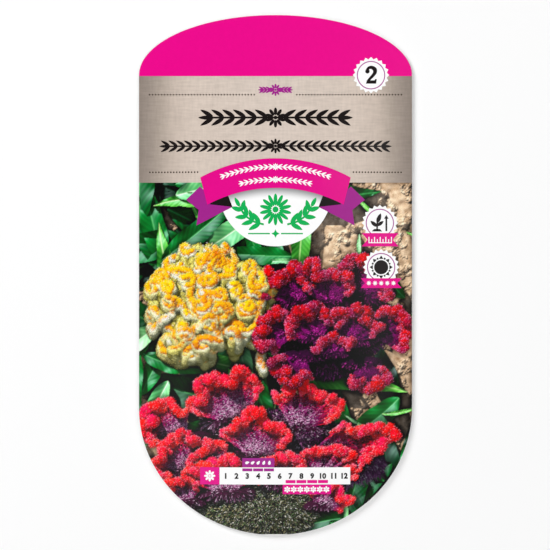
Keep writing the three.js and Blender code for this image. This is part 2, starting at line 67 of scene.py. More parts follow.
def ink_middle(part):
    left, right, foot, top = ink_box(part)
    return (left + right) / 2, (foot + top) / 2


# The packet, read off the frame
FRONT_LOW, FRONT_HIGH = box_of("front_sheet")
WIDTH, HEIGHT = (FRONT_HIGH - FRONT_LOW)[:2]
FOOT, HEAD = -HEIGHT / 2, HEIGHT / 2
SHEET = 0.3
FLAT_TOP = FRONT_LOW[2] + SHEET
FRONT_SWELL = FRONT_HIGH[2] - FLAT_TOP
BACK_REST = box_of("back_sheet")[1][2] - SHEET
BACK_SWELL = 1.25 * BACK_REST
RIPPLE = 0.045
HEADER_FOOT = ink_box("header")[2]
LABEL_FOOT = ink_box("label_band")[2]

# The outline and the pocket, as in the solids
HEAD_RISE = 18.5
FOOT_DROP = 39
SIDE_TOP = HEAD - HEAD_RISE
SIDE_FOOT = FOOT + FOOT_DROP
SEAL_WIDTH = 5
POCKET_TOP = 56
POCKET_FULL_TO = 30
SEAL_EASE = 0.15

# Ink films, one above the other
FILM = 0.016
FILM_STEP = 0.02

# How finely sheets are divided
BACK_PITCH = 1.2
FRONT_PITCH = 0.8


def half_width(y):
    head = np.maximum(0, y - SIDE_TOP) / HEAD_RISE
    foot = np.maximum(0, SIDE_FOOT - y) / FOOT_DROP
    return WIDTH / 2 * np.sqrt(np.maximum(0, 1 - head**2 - foot**2))


def fullness(x, y):
    """How full the pocket is: 0 at the seal, from where it rises gently, and 1 over its middle."""
    across = x / (WIDTH / 2 - SEAL_WIDTH)
    foot = np.maximum(0, SIDE_FOOT - y) / (FOOT_DROP - SEAL_WIDTH)
    head = np.maximum(0, y - POCKET_FULL_TO) / (POCKET_TOP - POCKET_FULL_TO)
    full = np.maximum(0, 1 - across**2 - foot**2) * np.maximum(0, 1 - head**2)
    return (1 + SEAL_EASE) * full**2 / (full + SEAL_EASE)


def front_top(x, y):
    """The front's height, with the slack of the paper: shallow waves over the pocket."""
    waves = np.sin(x / 4.6 + 1.3 * np.sin(y / 17)) * np.sin(y / 9.3 + 0.6 * np.sin(x / 11))
    full = fullness(x, y)
    return FLAT_TOP + FRONT_SWELL * full + RIPPLE * waves * np.minimum(1, 3 * full)


def back_top(x, y):
    return BACK_REST - np.minimum(BACK_REST, BACK_SWELL * fullness(x, y)) + SHEET


def film_top(x, y, level=0):
    return front_top(x, y) + (FILM + FILM_STEP * level)


# Materials: satin laminated print on paper, so each has a faint fibre in its colour and its gloss


def linear(colour):
    """A colour from 0 to 255 as the light that it sends back."""
    share = np.array(colour, float) / 255
    return np.where(share <= 0.04045, share / 12.92, ((share + 0.055) / 1.055) ** 2.4)


class Finish:
    """A material and short ways to build its nodes."""

    def __init__(self, name):
        self.material = bpy.data.materials.new(name)
        self.material.use_nodes = True
        self.tree = self.material.node_tree
        self.shader = self.tree.nodes["Principled BSDF"]

    def feed(self, made, inputs):
        """Sets a node's inputs to values, or links them to sockets or to a node's first output."""
        for key, value in inputs.items():
            if isinstance(value, bpy.types.Node):
                value = value.outputs[0]
            if isinstance(value, bpy.types.NodeSocket):
                self.tree.links.new(value, made.inputs[key])
            else:
                made.inputs[key].default_value = value
        return made

    def node(self, kind, inputs, **values):
        made = self.tree.nodes.new("ShaderNode" + kind)
        for key, value in values.items():
            setattr(made, key, value)
        return self.feed(made, inputs)

    def place(self):
        return self.node("TexCoord", {}).outputs["Object"]

    def noise(self, scale, detail=3, stretch=(1, 1, 1)):
        laid = self.node("Mapping", {"Vector": self.place(), "Scale": stretch})
        return self.node("TexNoise", {"Vector": laid, "Scale": scale, "Detail": detail})

    def tinted(self, colour, noise, amount):
        """The colour made a little lighter and darker by a noise."""
        span = {"From Min": 0.3, "From Max": 0.7, "To Min": 1 - amount, "To Max": 1}
        share = self.node("MapRange", {"Value": noise, **span})
        if isinstance(colour, tuple):
            colour = (*linear(colour), 1)
        inputs = {0: 1, 6: colour, 7: share}
        return self.node("Mix", inputs, data_type="RGBA", blend_type="MULTIPLY").outputs[2]

    def ramp(self, share, stops):
        made = self.node("ValToRGB", {0: share})
        elements = made.color_ramp.elements
        while len(elements) < len(stops):
            elements.new(0.5)
        for element, (position, colour) in zip(elements, stops):
            element.position = position
            element.color = (*linear(colour), 1)
        return made.outputs[0]

    def bumped(self, height, strength, distance):
        bump = self.node("Bump", {"Height": height, "Strength": strength, "Distance": distance})
        self.feed(self.shader, {"Normal": bump})

    def satin(self, colour, roughness=0.24, spread=0.04, specular=0.13, relief=0.02, depth=0.0001):
        """The laminate's gloss, a little uneven, over the paper's fibre."""
        fibre = self.noise(1500, 4)
        span = {"To Min": roughness - spread, "To Max": roughness + spread}
        uneven = self.node("MapRange", {"Value": fibre, **span})
        inputs = {"Base Color": colour, "Specular IOR Level": specular, "Roughness": uneven}
        self.feed(self.shader, inputs)
        self.bumped(fibre, relief, depth)
        return self.material


def print_material(name, colour, amount=0.03):
    finish = Finish(name)
    return finish.satin(finish.tinted(colour, finish.noise(900, 2), amount))


def painted_material():
    """Shows the colours that the picture's points carry."""
    finish = Finish("painted_print")
    paint = finish.node("Attribute", {}, attribute_name="paint").outputs[0]
    return finish.satin(finish.tinted(paint, finish.noise(1300, 2), 0.03))


def kraft_material():
    """Pale woven kraft that darkens over its last fifteen millimetres to each side."""
    finish = Finish("kraft_print")
    parts = finish.node("SeparateXYZ", {0: finish.place()})
    aside = finish.node("Math", {0: parts}, operation="ABSOLUTE")
    share = finish.node("MapRange", {"Value": aside, "From Max": WIDTH / 2 * MM})
    stops = [
        (0.0, (225, 210, 198)),
        (0.6, (222, 206, 193)),
        (0.74, (211, 195, 182)),
        (0.86, (180, 166, 154)),
        (0.94, (161, 148, 138)),
        (1.0, (150, 137, 127)),
    ]
    colour = finish.ramp(share, stops)
    weft, warp, cloud = (700, 3, (0.35, 2.4, 1)), (700, 3, (2.2, 0.4, 1)), (120,)
    for noise, amount in ((weft, 0.12), (warp, 0.09), (cloud, 0.05)):
        colour = finish.tinted(colour, finish.noise(*noise), amount)
    return finish.satin(colour, roughness=0.35)


def medallion_material():
    """White that is shaded just below the ribbon."""
    finish = Finish("medallion_white")
    foot, radius, _ = arc_over(*RIBBON_FOOT)
    middle = (0, foot * MM, FLAT_TOP * MM)
    away = finish.node("VectorMath", {0: finish.place(), 1: middle}, operation="DISTANCE")
    span = {"From Min": (radius - SHADE_REACH) * MM, "From Max": (radius + SHADE_START) * MM}
    inputs = {"Value": away.outputs["Value"], **span}
    near = finish.node("MapRange", inputs, interpolation_type="SMOOTHSTEP")
    return finish.satin(finish.ramp(near, [(0, INKS["ink_white"]), (1, SHADE_GREY)]))


def foil_material():
    finish = Finish("sachet_foil")
    crease = finish.noise(260, 5)
    # The crease noise is also the bump below: the foil's colour darkens where the bump is low, a painted
    # shade in the hollows of the creases.
    colour = finish.tinted((205, 208, 212), crease, 0.12)
    finish.feed(finish.shader, {"Base Color": colour, "Metallic": 0.9, "Roughness": 0.32})
    finish.bumped(crease, 0.5, 0.0004)
    return finish.material


def seed_material():
    finish = Finish("seed_coat")
    net = finish.node("TexVoronoi", {"Scale": 6000, "Vector": finish.place()})
    colour = finish.tinted((34, 26, 22), net, 0.5)
    finish.feed(finish.shader, {"Base Color": colour, "Roughness": 0.22})
    return finish.material


INKS = {
    "ink_pink": (237, 0, 140),
    "ink_ribbon": (230, 3, 139),
    "ink_purple": (162, 35, 140),
    "ink_green": (17, 177, 86),
    "ink_black": (23, 17, 17),
    "ink_dot": (65, 52, 43),
    "ink_white": (253, 253, 253),
}
# The ribbon's foot as half its chord and the heights of its ends and its crown, and the shade under it
RIBBON_FOOT = (20.95, 21.6, 26.7)
SHADE_REACH, SHADE_START = 3.2, 0.4
SHADE_GREY = (150, 150, 152)


def arc_over(chord, end, crown):
    """An arc's centre height, radius and half angle in degrees, from half its chord and its crown."""
    rise = crown - end
    radius = (chord**2 + rise**2) / (2 * rise)
    return crown - radius, radius, math.degrees(math.asin(chord / radius))


MATERIALS = {
    "white_sheet": print_material("paper_stock", (250, 249, 246), 0.05),
    "seal_film": print_material("seal_film", (238, 236, 230), 0.05),
    "sachet_foil": foil_material(),
    "seed": seed_material(),
    **{name: print_material(name, ink, 0.01 if name == "ink_white" else 0.03) for name, ink in INKS.items()},
    "ink_kraft": kraft_material(),
    "medallion": medallion_material(),
    "painted": painted_material(),
}


# Meshes


def stacked(*parts):
    return np.stack(parts, -1)


def placed(name, data):
    thing = bpy.data.objects.new(name, data)
    bpy.context.scene.collection.objects.link(thing)
    return thing


def mesh_piece(name, points, faces, finish, nodes, sharp=0.6):
    """A piece from points in millimetres, in its finish's material. It stands for the nodes, which it hides.
    """
    mesh = bpy.data.meshes.new(name)
    mesh.from_pydata((np.asarray(points) * MM).tolist(), [], faces)
    mesh.polygons.foreach_set("use_smooth", np.ones(len(mesh.polygons), bool))
    mesh.set_sharp_from_angle(angle=sharp)
    mesh.validate()
    mesh.materials.append(MATERIALS[finish])
    piece = placed(name, mesh)
    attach(piece, "root")
    if nodes:
        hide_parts(*nodes)
    return piece


def row_heights(low, high, pitch):
    """Heights of rows, closer and closer together towards the round tips of the outline."""
    heights = [low, high]
    for middle, reach in ((SIDE_TOP, HEAD_RISE), (SIDE_FOOT, -FOOT_DROP)):
        steps = math.ceil(math.pi / 2 * math.sqrt((reach**2 + (WIDTH / 2) ** 2) / 2) / pitch)
        heights += list(middle + reach * np.sin(np.linspace(0, 0.4985 * math.pi, steps + 1)))
    heights += list(np.linspace(SIDE_FOOT, SIDE_TOP, math.ceil((SIDE_TOP - SIDE_FOOT) / pitch) + 1))
    heights = np.array(sorted(heights))
    heights = heights[(heights >= low) & (heights <= high)]
    return heights[np.diff(heights, append=math.inf) > 0.02]


def outline_grid(low, high, pitch):
    """x and y over the packet between two heights: rows across it that reach from edge to edge."""
    y = row_heights(low, high, pitch)
    across = np.linspace(-1, 1, 2 * math.ceil(WIDTH / 2 / pitch) + 1)
    return across[None, :] * half_width(y)[:, None], y[:, None] + 0 * across[None, :]


def grid_faces(rows, columns):
    here = np.arange(rows - 1)[:, None] * columns + np.arange(columns - 1)[None, :]
    return stacked(here, here + 1, here + columns + 1, here + columns).reshape(-1, 4).tolist()


def slab(name, upper, faces, thickness, finish, nodes):
    """A closed sheet: its upper side, the same turned over below, and walls where faces end."""
    edges = {(a, b) for face in faces for a, b in zip(face, face[1:] + face[:1])}
    rim = sorted((a, b) for a, b in edges if (b, a) not in edges)
    count = len(upper)
    under = [[corner + count for corner in face[::-1]] for face in faces]
    walls = [[b, a, a + count, b + count] for a, b in rim]
    points = np.concatenate([upper, upper - np.array([0, 0, thickness])])
    mesh_piece(name, points, [*faces, *under, *walls], finish, nodes)


def sheet(name, x, y, top, thickness, finish, solid):
    """A closed sheet, whose upper side is a grid of points."""
    slab(name, stacked(x, y, top).reshape(-1, 3), grid_faces(*x.shape), thickness, finish, [solid])


def divided(flat, longest):
    """An outline whose long sides are cut into short ones, so that it can follow the swell."""
    found = []
    for start, end in zip(flat, np.roll(flat, -1, 0)):
        count = max(1, math.ceil(np.linalg.norm(end - start) / longest))
        found += [start + (end - start) * i / count for i in range(count)]
    return np.array(found)


def plate(part, outlines, level, finish, nodes=None, cell=1.5):
    """Flat figures laid over the swollen front as one thin film. Outlines may overlap. The film
    stands for the solid of its own name, unless others or none are given."""
    points, faces = [], []
    for outline in outlines:
        flat = divided(np.asarray(outline, float), cell)
        area = np.sum(flat[:, 0] * np.roll(flat[:, 1], -1) - np.roll(flat[:, 0], -1) * flat[:, 1])
        faces.append([len(points) + i for i in range(len(flat))])
        points += (flat if area > 0 else flat[::-1]).tolist()
    low, high = np.min(points, 0), np.max(points, 0)
    for x in np.arange(low[0] + cell / 2, high[0], cell):
        points += [[x, y] for y in np.arange(low[1] + cell / 2, high[1], cell)]
    flat, _, triangles, _, _, owners = delaunay_2d_cdt([Vector(p) for p in points], [], faces, 0, 1e-5)
    triangles = [corners for corners, owner in zip(triangles, owners) if owner]
    used = sorted({corner for face in triangles for corner in face})
    place = {corner: i for i, corner in enumerate(used)}
    triangles = [[place[corner] for corner in face] for face in triangles]
    flat = np.array([flat[i][:] for i in used])
    upper = np.column_stack([flat, film_top(flat[:, 0], flat[:, 1], level)])
    nodes = ["ink_" + part] if nodes is None else nodes
    slab("print_" + part, upper, triangles, FILM, finish, nodes)


# Flat figures as closed lists of points


def arc(x, y, radius, start, end, steps):
    turn = np.radians(np.linspace(start, end, steps + 1))
    return np.column_stack([x + radius * np.cos(turn), y + radius * np.sin(turn)])


def disc(x, y, radius, steps=48):
    return arc(x, y, radius, 0, 360, steps)[:-1]


def ring(x, y, outer, inner):
    """Two half rings, since a figure has no hole."""
    halves = ((arc(x, y, outer, i, i + 180, 24), arc(x, y, inner, i + 180, i, 24)) for i in (0, 180))
    return [np.concatenate(half) for half in halves]


def star(x, y, outer, inner, count):
    steps = np.arange(2 * count)
    angle = np.radians(90 + steps * 180 / count)
    radius = np.where(steps % 2, inner, outer)
    return np.column_stack([x + radius * np.cos(angle), y + radius * np.sin(angle)])


def rectangle(left, right, foot, top):
    return np.array([[left, foot], [right, foot], [right, top], [left, top]], float)


def mirrored(points):
    return np.array([[-x, y] for x, y in points][::-1], float)


def turned(flat, angle, x, y):
    """A figure turned about its origin, which is then moved to x, y."""
    cos, sin = math.cos(angle), math.sin(angle)
    return flat @ np.array([[cos, sin], [-sin, cos]]) + np.array([x, y])


def stroke(points, width):
    """A line of points thickened to a width, which may change along it."""
    points = np.asarray(points, float)
    ahead = np.gradient(points, axis=0)
    ahead /= np.linalg.norm(ahead, axis=1, keepdims=True)
    half = (np.broadcast_to(width, len(points)) / 2)[:, None]
    side = np.column_stack([-ahead[:, 1], ahead[:, 0]]) * half
    return np.concatenate([points - side, (points + side)[::-1]])


def smooth_line(points, steps=40):
    """A smooth curve through a few points."""
    points = np.asarray(points, float)
    t = np.linspace(0, len(points) - 1, steps)
    ends = np.vstack([2 * points[0] - points[1], points, 2 * points[-1] - points[-2]])
    i = np.clip(t.astype(int), 0, len(points) - 2)
    u = (t - i)[:, None]
    a, b, c, d = (ends[i + k] for k in range(4))
    return 0.5 * (2 * b + (c - a) * u + (2 * a - 5 * b + 4 * c - d) * u**2 + (3 * b - a - 3 * c + d) * u**3)


def leaf_figure(x, y, angle, length, width, bend=0.0):
    """A leaf from its foot at x, y, pointed at its tip and widest before its middle."""
    t = np.linspace(0, 1, 15)
    half = 0.96 * width * t**0.6 * (1 - t) ** 0.85
    middle = bend * length * t**2
    right = np.column_stack([length * t, middle - half])
    left = np.column_stack([length * t, middle + half])[::-1]
    return turned(np.concatenate([right[:-1], left[:-1]]), angle, x, y)


def drop(x, y, angle, length, width):
    """A seed: round at one end and pointed at the other."""
    turn = np.linspace(0, FULL_TURN, 25)[:-1]
    across = width / 2 * np.sin(turn) * (1 - 0.35 * np.cos(turn))
    return turned(np.column_stack([length / 2 * np.cos(turn), across]), angle, x, y)


def daisy(x, y, reach, petals):
    """Round-ended petals about a button, a little apart from it and from each other."""
    half_length, widths_round = 0.38 * reach, 3.3
    petal = disc(0, 0, 1, 20) * np.array([half_length, widths_round / petals * reach / 2])
    middle = reach - half_length
    figures = []
    for i in range(petals):
        angle = math.radians(90 + 360 * i / petals)
        figures.append(turned(petal, angle, x + middle * math.cos(angle), y + middle * math.sin(angle)))
    return [*figures, disc(x, y, 0.19 * reach, 20)]


def garland(y, half, pairs, leaf, width, stem, bloom, arch=0.0):
    """A printer's garland: a flower, and leaves that point outwards in pairs along a thin stem."""

    def at(s):
        if not arch:
            return np.array([s, y])
        return np.array([arch * math.sin(s / arch), y - arch * (1 - math.cos(s / arch))])

    reach, spread, droop = half - leaf, 0.66, 0.1
    figures = [stroke([at(s) for s in np.linspace(-reach, reach, 61)], stem), *daisy(*at(0), bloom, 10)]
    first = 0.8 * bloom / reach
    for sign in (-1, 1):
        for i in range(pairs):
            s = sign * reach * (first + (1 - first) * i / (pairs - 1))
            outward = (-s / arch if arch else 0) + (0 if sign > 0 else math.pi)
            for side in (-1, 1):
                figures.append(leaf_figure(*at(s), outward + spread * side, leaf, width, -droop * side))
        figures.append(leaf_figure(*at(s), outward, leaf, width))
    return figures


# The pouch and what it holds


def make_pouch():
    for name, low, high, pitch, top, thickness, finish, solid in (
        ("pouch_back", FOOT, HEAD, BACK_PITCH, back_top, SHEET, "white_sheet", "back_sheet"),
        ("pouch_front", FOOT, HEAD, FRONT_PITCH, front_top, SHEET, "white_sheet", "front_sheet"),
        ("print_header", HEADER_FOOT, HEAD, FRONT_PITCH, film_top, FILM, "ink_pink", "ink_header"),
        ("print_label", LABEL_FOOT, HEADER_FOOT, FRONT_PITCH, film_top, FILM, "ink_kraft", "ink_label_band"),
    ):
        x, y = outline_grid(low, high, pitch)
        sheet(name, x, y, top(x, y), thickness, finish, solid)


def dress_frame():
    """The solids that stay get their finish."""
    for name, finish in (("seal_film", "seal_film"), ("sachet_back", "sachet_foil")):
        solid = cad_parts[name]
        solid.data.materials.clear()
        solid.data.materials.append(MATERIALS[finish])


def make_sachet():
    """A pillow of foil, creased over its filling and crimped along its sealed rim."""
    foil, slack, rim_lift = 0.12, 0.1, 0.03
    side_seal, end_seal, crimp_end, crimp_pitch = 0.78, 0.86, 0.97, 0.9
    columns, rows = 93, 141
    low, high = box_of("sachet_front")
    x, y = np.meshgrid(np.linspace(low[0], high[0], columns), np.linspace(low[1], high[1], rows))
    across = np.abs(2 * (x - low[0]) / (high[0] - low[0]) - 1)
    along = np.abs(2 * (y - low[1]) / (high[1] - low[1]) - 1)
    full = np.maximum(0, 1 - (across / side_seal) ** 4) * np.maximum(0, 1 - (along / end_seal) ** 4)
    crimp = rim_lift * np.sin(y * FULL_TURN / crimp_pitch) * (along < crimp_end) * (full <= 0)
    crease = 0.10 * np.sin(x / 1.9 + 2 * np.sin(y / 5)) * np.sin(y / 2.7 + 1.5 * np.sin(x / 4)) * full
    top = low[2] + foil + (high[2] - low[2] - foil - slack) * full + crease + rim_lift + crimp
    sheet("sachet_pillow", x, y, top, foil, "sachet_foil", "sachet_front")


def make_seeds():
    """Lens-shaped seeds, one deep, each with its own tilt and turn."""
    random = np.random.default_rng(7)
    low, high = box_of("seeds")
    middle, reach = (low + high) / 2, (high - low) / 2 - 0.8
    rings = [(0.0, 1.0), (0.45, 0.86), (0.8, 0.5), (1.0, 0.0), (0.8, -0.5), (0.45, -0.86), (0.0, -1.0)]
    share, height = np.array(rings).T[:, :, None]
    sides, pitch, row_pitch, thickness = 14, 1.36, 0.87, 0.34
    points, faces = [], []
    for row in range(-6, 7):
        for column in range(-8, 9):
            x, y = (column + 0.5 * (row % 2)) * pitch, row * pitch * row_pitch
            tilt, turn, size = random.normal(0, 0.12, 2), random.uniform(0, 6.3), random.uniform(0.62, 0.7)
            if (x / reach[0]) ** 2 + (y / reach[1]) ** 2 > 1:
                continue
            angle = turn + FULL_TURN * np.arange(sides) / sides
            u, v = size * share * np.cos(angle), size * share * np.sin(angle)
            lift = thickness * height * size / 0.7 + tilt[0] * u + tilt[1] * v
            first = len(points)
            points += stacked(x + u, y + v * 0.92, lift).reshape(-1, 3).tolist()
            for a in range(first, len(points) - sides):
                b = a + 1 if (a + 1 - first) % sides else a + 1 - sides
                faces.append([a, a + sides, b + sides, b])
    mesh_piece("seed_bed", np.array(points) + middle, faces, "seed", ["seeds"], sharp=1.2)


# The printing on the header and the label


def make_label_print():
    for part, half, pairs, leaf, width, stem, bloom, ink in (
        ("title_garland", 23.8, 6, 4.6, 1.8, 0.6, 3.1, "ink_black"),
        ("subtitle_garland", 35.8, 14, 3.3, 1.25, 0.45, 2.3, "ink_black"),
        ("topper_garland", 5.4, 3, 1.8, 0.85, 0.35, 1.9, "ink_purple"),
    ):
        plate(part, garland(ink_middle(part)[1], half, pairs, leaf, width, stem, bloom), 1, ink)
    pitch, radius = 0.92, 0.26
    for place in ("upper_left", "upper_right", "lower_left", "lower_right"):
        left, right, foot, top = ink_box("rule_" + place)
        count = int((right - left) / pitch)
        first = left + (right - left - count * pitch) / 2
        dots = [disc(first + pitch * i, (foot + top) / 2, radius, 10) for i in range(count + 1)]
        plate("dots_" + place, dots, 1, "ink_dot", ["ink_rule_" + place])


# The ribbon over the medallion

RIBBON_TOP = (23.1, 29.95, 35.8)
TAIL = [[-23.2, 27.2], [-27.5, 23.1], [-23.6, 20], [-24.3, 15.2], [-13.2, 20.9], [-20, 24.4]]
FOLD = [[-20.1, 21.7], [-13.2, 20.9], [-14.9, 25.3], [-19, 25]]
MEDALLION_Y = 26.2
MEDALLION_RADIUS = 17.4
MEDALLION_TOP = 27.5
DAISY_Y = 20.1
SPRAY = [[3.6, 15.5], [6.6, 16.4], [9.4, 18.4], [11, 21]]
RULE_Y = 12.7
RULE_MIDDLE = 5.05
RULE_HALF = 3.35
RULE_WIDTH = 0.4


def ribbon_figure():
    top, top_radius, top_half = arc_over(*RIBBON_TOP)
    foot, foot_radius, foot_half = arc_over(*RIBBON_FOOT)
    upper = arc(0, top, top_radius, 90 + top_half, 90 - top_half, 48)
    lower = arc(0, foot, foot_radius, 90 - foot_half, 90 + foot_half, 48)
    return np.concatenate([upper, lower])


def medallion_figure():
    lean = math.degrees(math.asin((MEDALLION_TOP - MEDALLION_Y) / MEDALLION_RADIUS))
    return arc(0, MEDALLION_Y, MEDALLION_RADIUS, lean, -180 - lean, 96)


def emblem_figures():
    """A daisy between two leafy sprays."""
    figures = daisy(0, DAISY_Y, 4.9, 14)
    for side in (-1, 1):
        stem = smooth_line([[side * x, y] for x, y in SPRAY])
        figures.append(stroke(stem, 0.6))
        last = len(stem) - 1
        for share in (0.12, 0.36, 0.6, 0.84):
            i = round(share * last)
            ahead = stem[i + 2] - stem[i - 2]
            angle = math.atan2(ahead[1], ahead[0])
            for way in (-1, 1):
                figures.append(leaf_figure(*stem[i], angle + 0.75 * way, 4.1 - 0.8 * share, 2.0))
        figures.append(leaf_figure(*stem[-1], angle, 3.2, 1.7))
    return figures


def make_emblem():
    plate("medallion", [medallion_figure()], 1, "medallion")
    plate("daisy", emblem_figures(), 2, "ink_green")
    foot, top = RULE_Y - RULE_WIDTH / 2, RULE_Y + RULE_WIDTH / 2
    rules = [rectangle(x - RULE_HALF, x + RULE_HALF, foot, top) for x in (-RULE_MIDDLE, RULE_MIDDLE)]
    plate("medallion_rule", [*rules, star(0, RULE_Y, 1.3, 0.6, 4)], 2, "ink_green")
    for kind, figure, level, ink in (("tail", TAIL, 2, "ink_purple"), ("fold", FOLD, 3, "ink_black")):
        plate(kind + "_left", [figure], level, ink)
        plate(kind + "_right", [mirrored(figure)], level, ink)
    plate("ribbon", [ribbon_figure()], 4, "ink_ribbon")
    for place, y, half, pairs, arch in (("upper", 33.2, 17.5, 11, 46.5), ("lower", 29.3, 11.5, 7, 46)):
        figures = garland(y, half, pairs, 1.6, 0.65, 0.26, 1.05, arch)
        plate("ribbon_garland_" + place, figures, 5, "ink_white")


# The three toothed badges: radii as shares of half a badge's width

TEETH = 20
TOOTH_TIP, TOOTH_ROOT = 1.01, 0.885
RING_OUTER, RING_INNER = 0.785, 0.735


def numeral_two(x, y):
    bowl = [[-1.3, 1.05], [-1.1, 1.85], [-0.4, 2.35], [0.45, 2.3], [1.15, 1.75], [1.2, 0.9], [0.75, 0.1]]
    line = smooth_line([*bowl, [-0.25, -1.0], [-1.15, -2.0]], 60)
    width = np.interp(np.linspace(0, 1, 60), [0, 0.12, 0.5, 0.75, 1], [0.9, 0.75, 1.3, 0.95, 0.7])
    foot = [[-1.6, -2.6], [1.55, -2.6], [1.75, -1.2], [1.3, -1.2], [1.05, -1.6], [-1.2, -1.6]]
    ball = disc(-1.1, 1.2, 0.68, 24)
    return [figure + np.array([x, y]) for figure in (stroke(line, width), np.array(foot), ball)]


def sprout_figures(x, y):
    """Three fat leaves on a stem over a patch of soil, each given by its foot, turn and size."""
    leaves = [(0, -1.4, 2.45, 2.6, 1.6), (0, -1.2, 0.6, 2.5, 1.5), (0.1, -0.2, 1.2, 3.0, 1.8)]
    figures = [leaf_figure(x + u, y + v, angle, length, width) for u, v, angle, length, width in leaves]
    figures.append(stroke(smooth_line([[x, y - 2.7], [x + 0.08, y - 1.2], [x + 0.1, y + 0.4]], 12), 0.5))
    figures.append(np.array([[-1.6, -2.95], [1.6, -2.95], [0.9, -2.2], [-0.9, -2.2]]) + [x, y])
    return figures


def arrow_figures(x, foot, top):
    head = np.array([[x - 0.7, top - 1.2], [x + 0.7, top - 1.2], [x, top]])
    return [rectangle(x - 0.27, x + 0.27, foot, top - 0.7), head]


def sun_figures(x, y):
    """A disc with eight pointed rays and a short pip between each two."""
    ray = np.array([[2.55, -0.7], [3.6, 0], [2.55, 0.7]])
    pip = rectangle(2.55, 3.1, -0.26, 0.26)
    figures = [disc(x, y, 2.18)]
    for i in range(8):
        figures.append(turned(ray, i * math.pi / 4, x, y))
        figures.append(turned(pip, (i + 0.5) * math.pi / 4, x, y))
    return figures


def ribbon_tag(left, right, foot, top, notch):
    """A ribbon with a notch in each end."""
    middle = (foot + top) / 2
    end = [[right, foot], [right - notch, middle], [right, top]]
    return np.array([[left, foot], *end, [left, top], [left + notch, middle]])


def ruler_marks(x, y):
    foot, pitch, half = y - 1.05, 0.87, 0.15
    marks = [rectangle(x - 3.6, x + 3.6, foot, y - 0.8)]
    for i in range(-4, 5):
        tall = 1.2 if i % 2 else 1.9
        marks.append(rectangle(x + pitch * i - half, x + pitch * i + half, foot, foot + tall))
    return marks


def sun_marks(x, y):
    return [star(x + 1.9 * i, y, 0.8, 0.42, 8) for i in range(-2, 3)]


def make_badges():
    places = {}
    for kind in ("number", "height", "sun"):
        part = "badge_" + kind
        left, right, foot, top = ink_box(part)
        x, y = places[kind] = ink_middle(part)
        half = (right - left) / 2
        plate(part, [star(x, y, TOOTH_TIP * half, TOOTH_ROOT * half, TEETH)], 1, "ink_white")
        plate(part + "_ring", ring(x, y, RING_OUTER * half, RING_INNER * half), 2, "ink_purple")
    x, y = places["height"]
    for part, figures in (
        ("numeral", numeral_two(*places["number"])),
        ("sprout", sprout_figures(x - 0.9, y + 0.35)),
        ("arrow", arrow_figures(x + 2, y - 2.5, y + 2.5)),
        ("sun", sun_figures(*places["sun"])),
    ):
        plate(part, figures, 2, "ink_black")
    for kind, notch, marks in (("height", 1.8, ruler_marks), ("sun", 1.3, sun_marks)):
        part = f"badge_{kind}_ribbon"
        plate(part, [ribbon_tag(*ink_box(part), notch)], 3, "ink_ribbon")
        plate(f"badge_{kind}_marks", marks(*ink_middle(part)), 4, "ink_white", [])


# The sowing calendar, with plain numbers for the months

MONTH_TALL = 1.8
MONTH_BOLD = 0.05
STRIP_MONTHS = 12.1
FIRST_MONTH = 0.57
BAR_SHARE = 0.92
BAR_OVERLAP = 0.2


def number_figure(text, x, y):
    """A number in Blender's own plain letters, as flat points and faces."""
    curve = bpy.data.curves.new("number", "FONT")
    curve.body = text
    curve.align_x = "CENTER"
    curve.resolution_u = 4
    curve.offset = MONTH_BOLD
    writing = placed("number", curve)
    bpy.context.view_layer.update()
    flat = bpy.data.meshes.new_from_object(writing)
    bpy.data.objects.remove(writing)
    bpy.data.curves.remove(curve)
    points = np.array([v.co[:] for v in flat.vertices])
    faces = [list(polygon.vertices) for polygon in flat.polygons]
    bpy.data.meshes.remove(flat)
    size = MONTH_TALL / (points[:, 1].max() - points[:, 1].min())
    middle = (points.max(0) + points.min(0)) / 2
    return (points - middle) * size + np.array([x, y, 0]), faces


def make_months(first, pitch, middle):
    points, faces = [], []
    for month in range(12):
        more, more_faces = number_figure(str(month + 1), first + pitch * month, middle)
        faces += [[corner + len(points) for corner in face] for face in more_faces]
        points += more.tolist()
    points = np.array(points)
    points[:, 2] = film_top(points[:, 0], points[:, 1], 2)
    mesh_piece("print_months", points, faces, "ink_black", [])


def make_calendar():
    for part, ink in (
        ("calendar_strip", "ink_white"),
        ("calendar_end", "ink_ribbon"),
        ("sowing_tag", "ink_purple"),
        ("flowering_tag", "ink_ribbon"),
    ):
        plate(part, [rectangle(*ink_box(part))], 1, ink)
    left, right, foot, top = ink_box("calendar_strip")
    pitch = (right - left) / STRIP_MONTHS
    first = left + FIRST_MONTH * pitch
    make_months(first, pitch, (foot + top) / 2)
    for season, start, end, ink in (("sowing", 2, 5, "ink_purple"), ("flowering", 6, 10, "ink_ribbon")):
        part = season + "_bar"
        left, right, foot, top = ink_box(part)
        middles = [first + pitch * month for month in range(start, end)]
        half = BAR_SHARE / 2 * pitch
        bars = [rectangle(x - half, x + half, foot, top + BAR_OVERLAP) for x in middles]
        plate(part, bars, 2, ink)
    x, y = ink_middle("sowing_tag")
    seeds = [drop(x + 1.7 * i, y, 0.9 + 0.3 * i, 1.3, 0.8) for i in range(-2, 3)]
    plate("sowing_marks", seeds, 2, "ink_white", [])
    x, y = ink_middle("flowering_tag")
    blooms = [figure for i in range(-3, 4) for figure in daisy(x + 2 * i, y, 1.0, 6)]
    plate("flowering_marks", blooms, 2, "ink_white", [])
    plate("calendar_bloom", daisy(*ink_middle("calendar_end"), 1.75, 8), 2, "ink_white", [])


# The painter: a garden scene in depth, kept as what the eye meets at each point of a fine grid

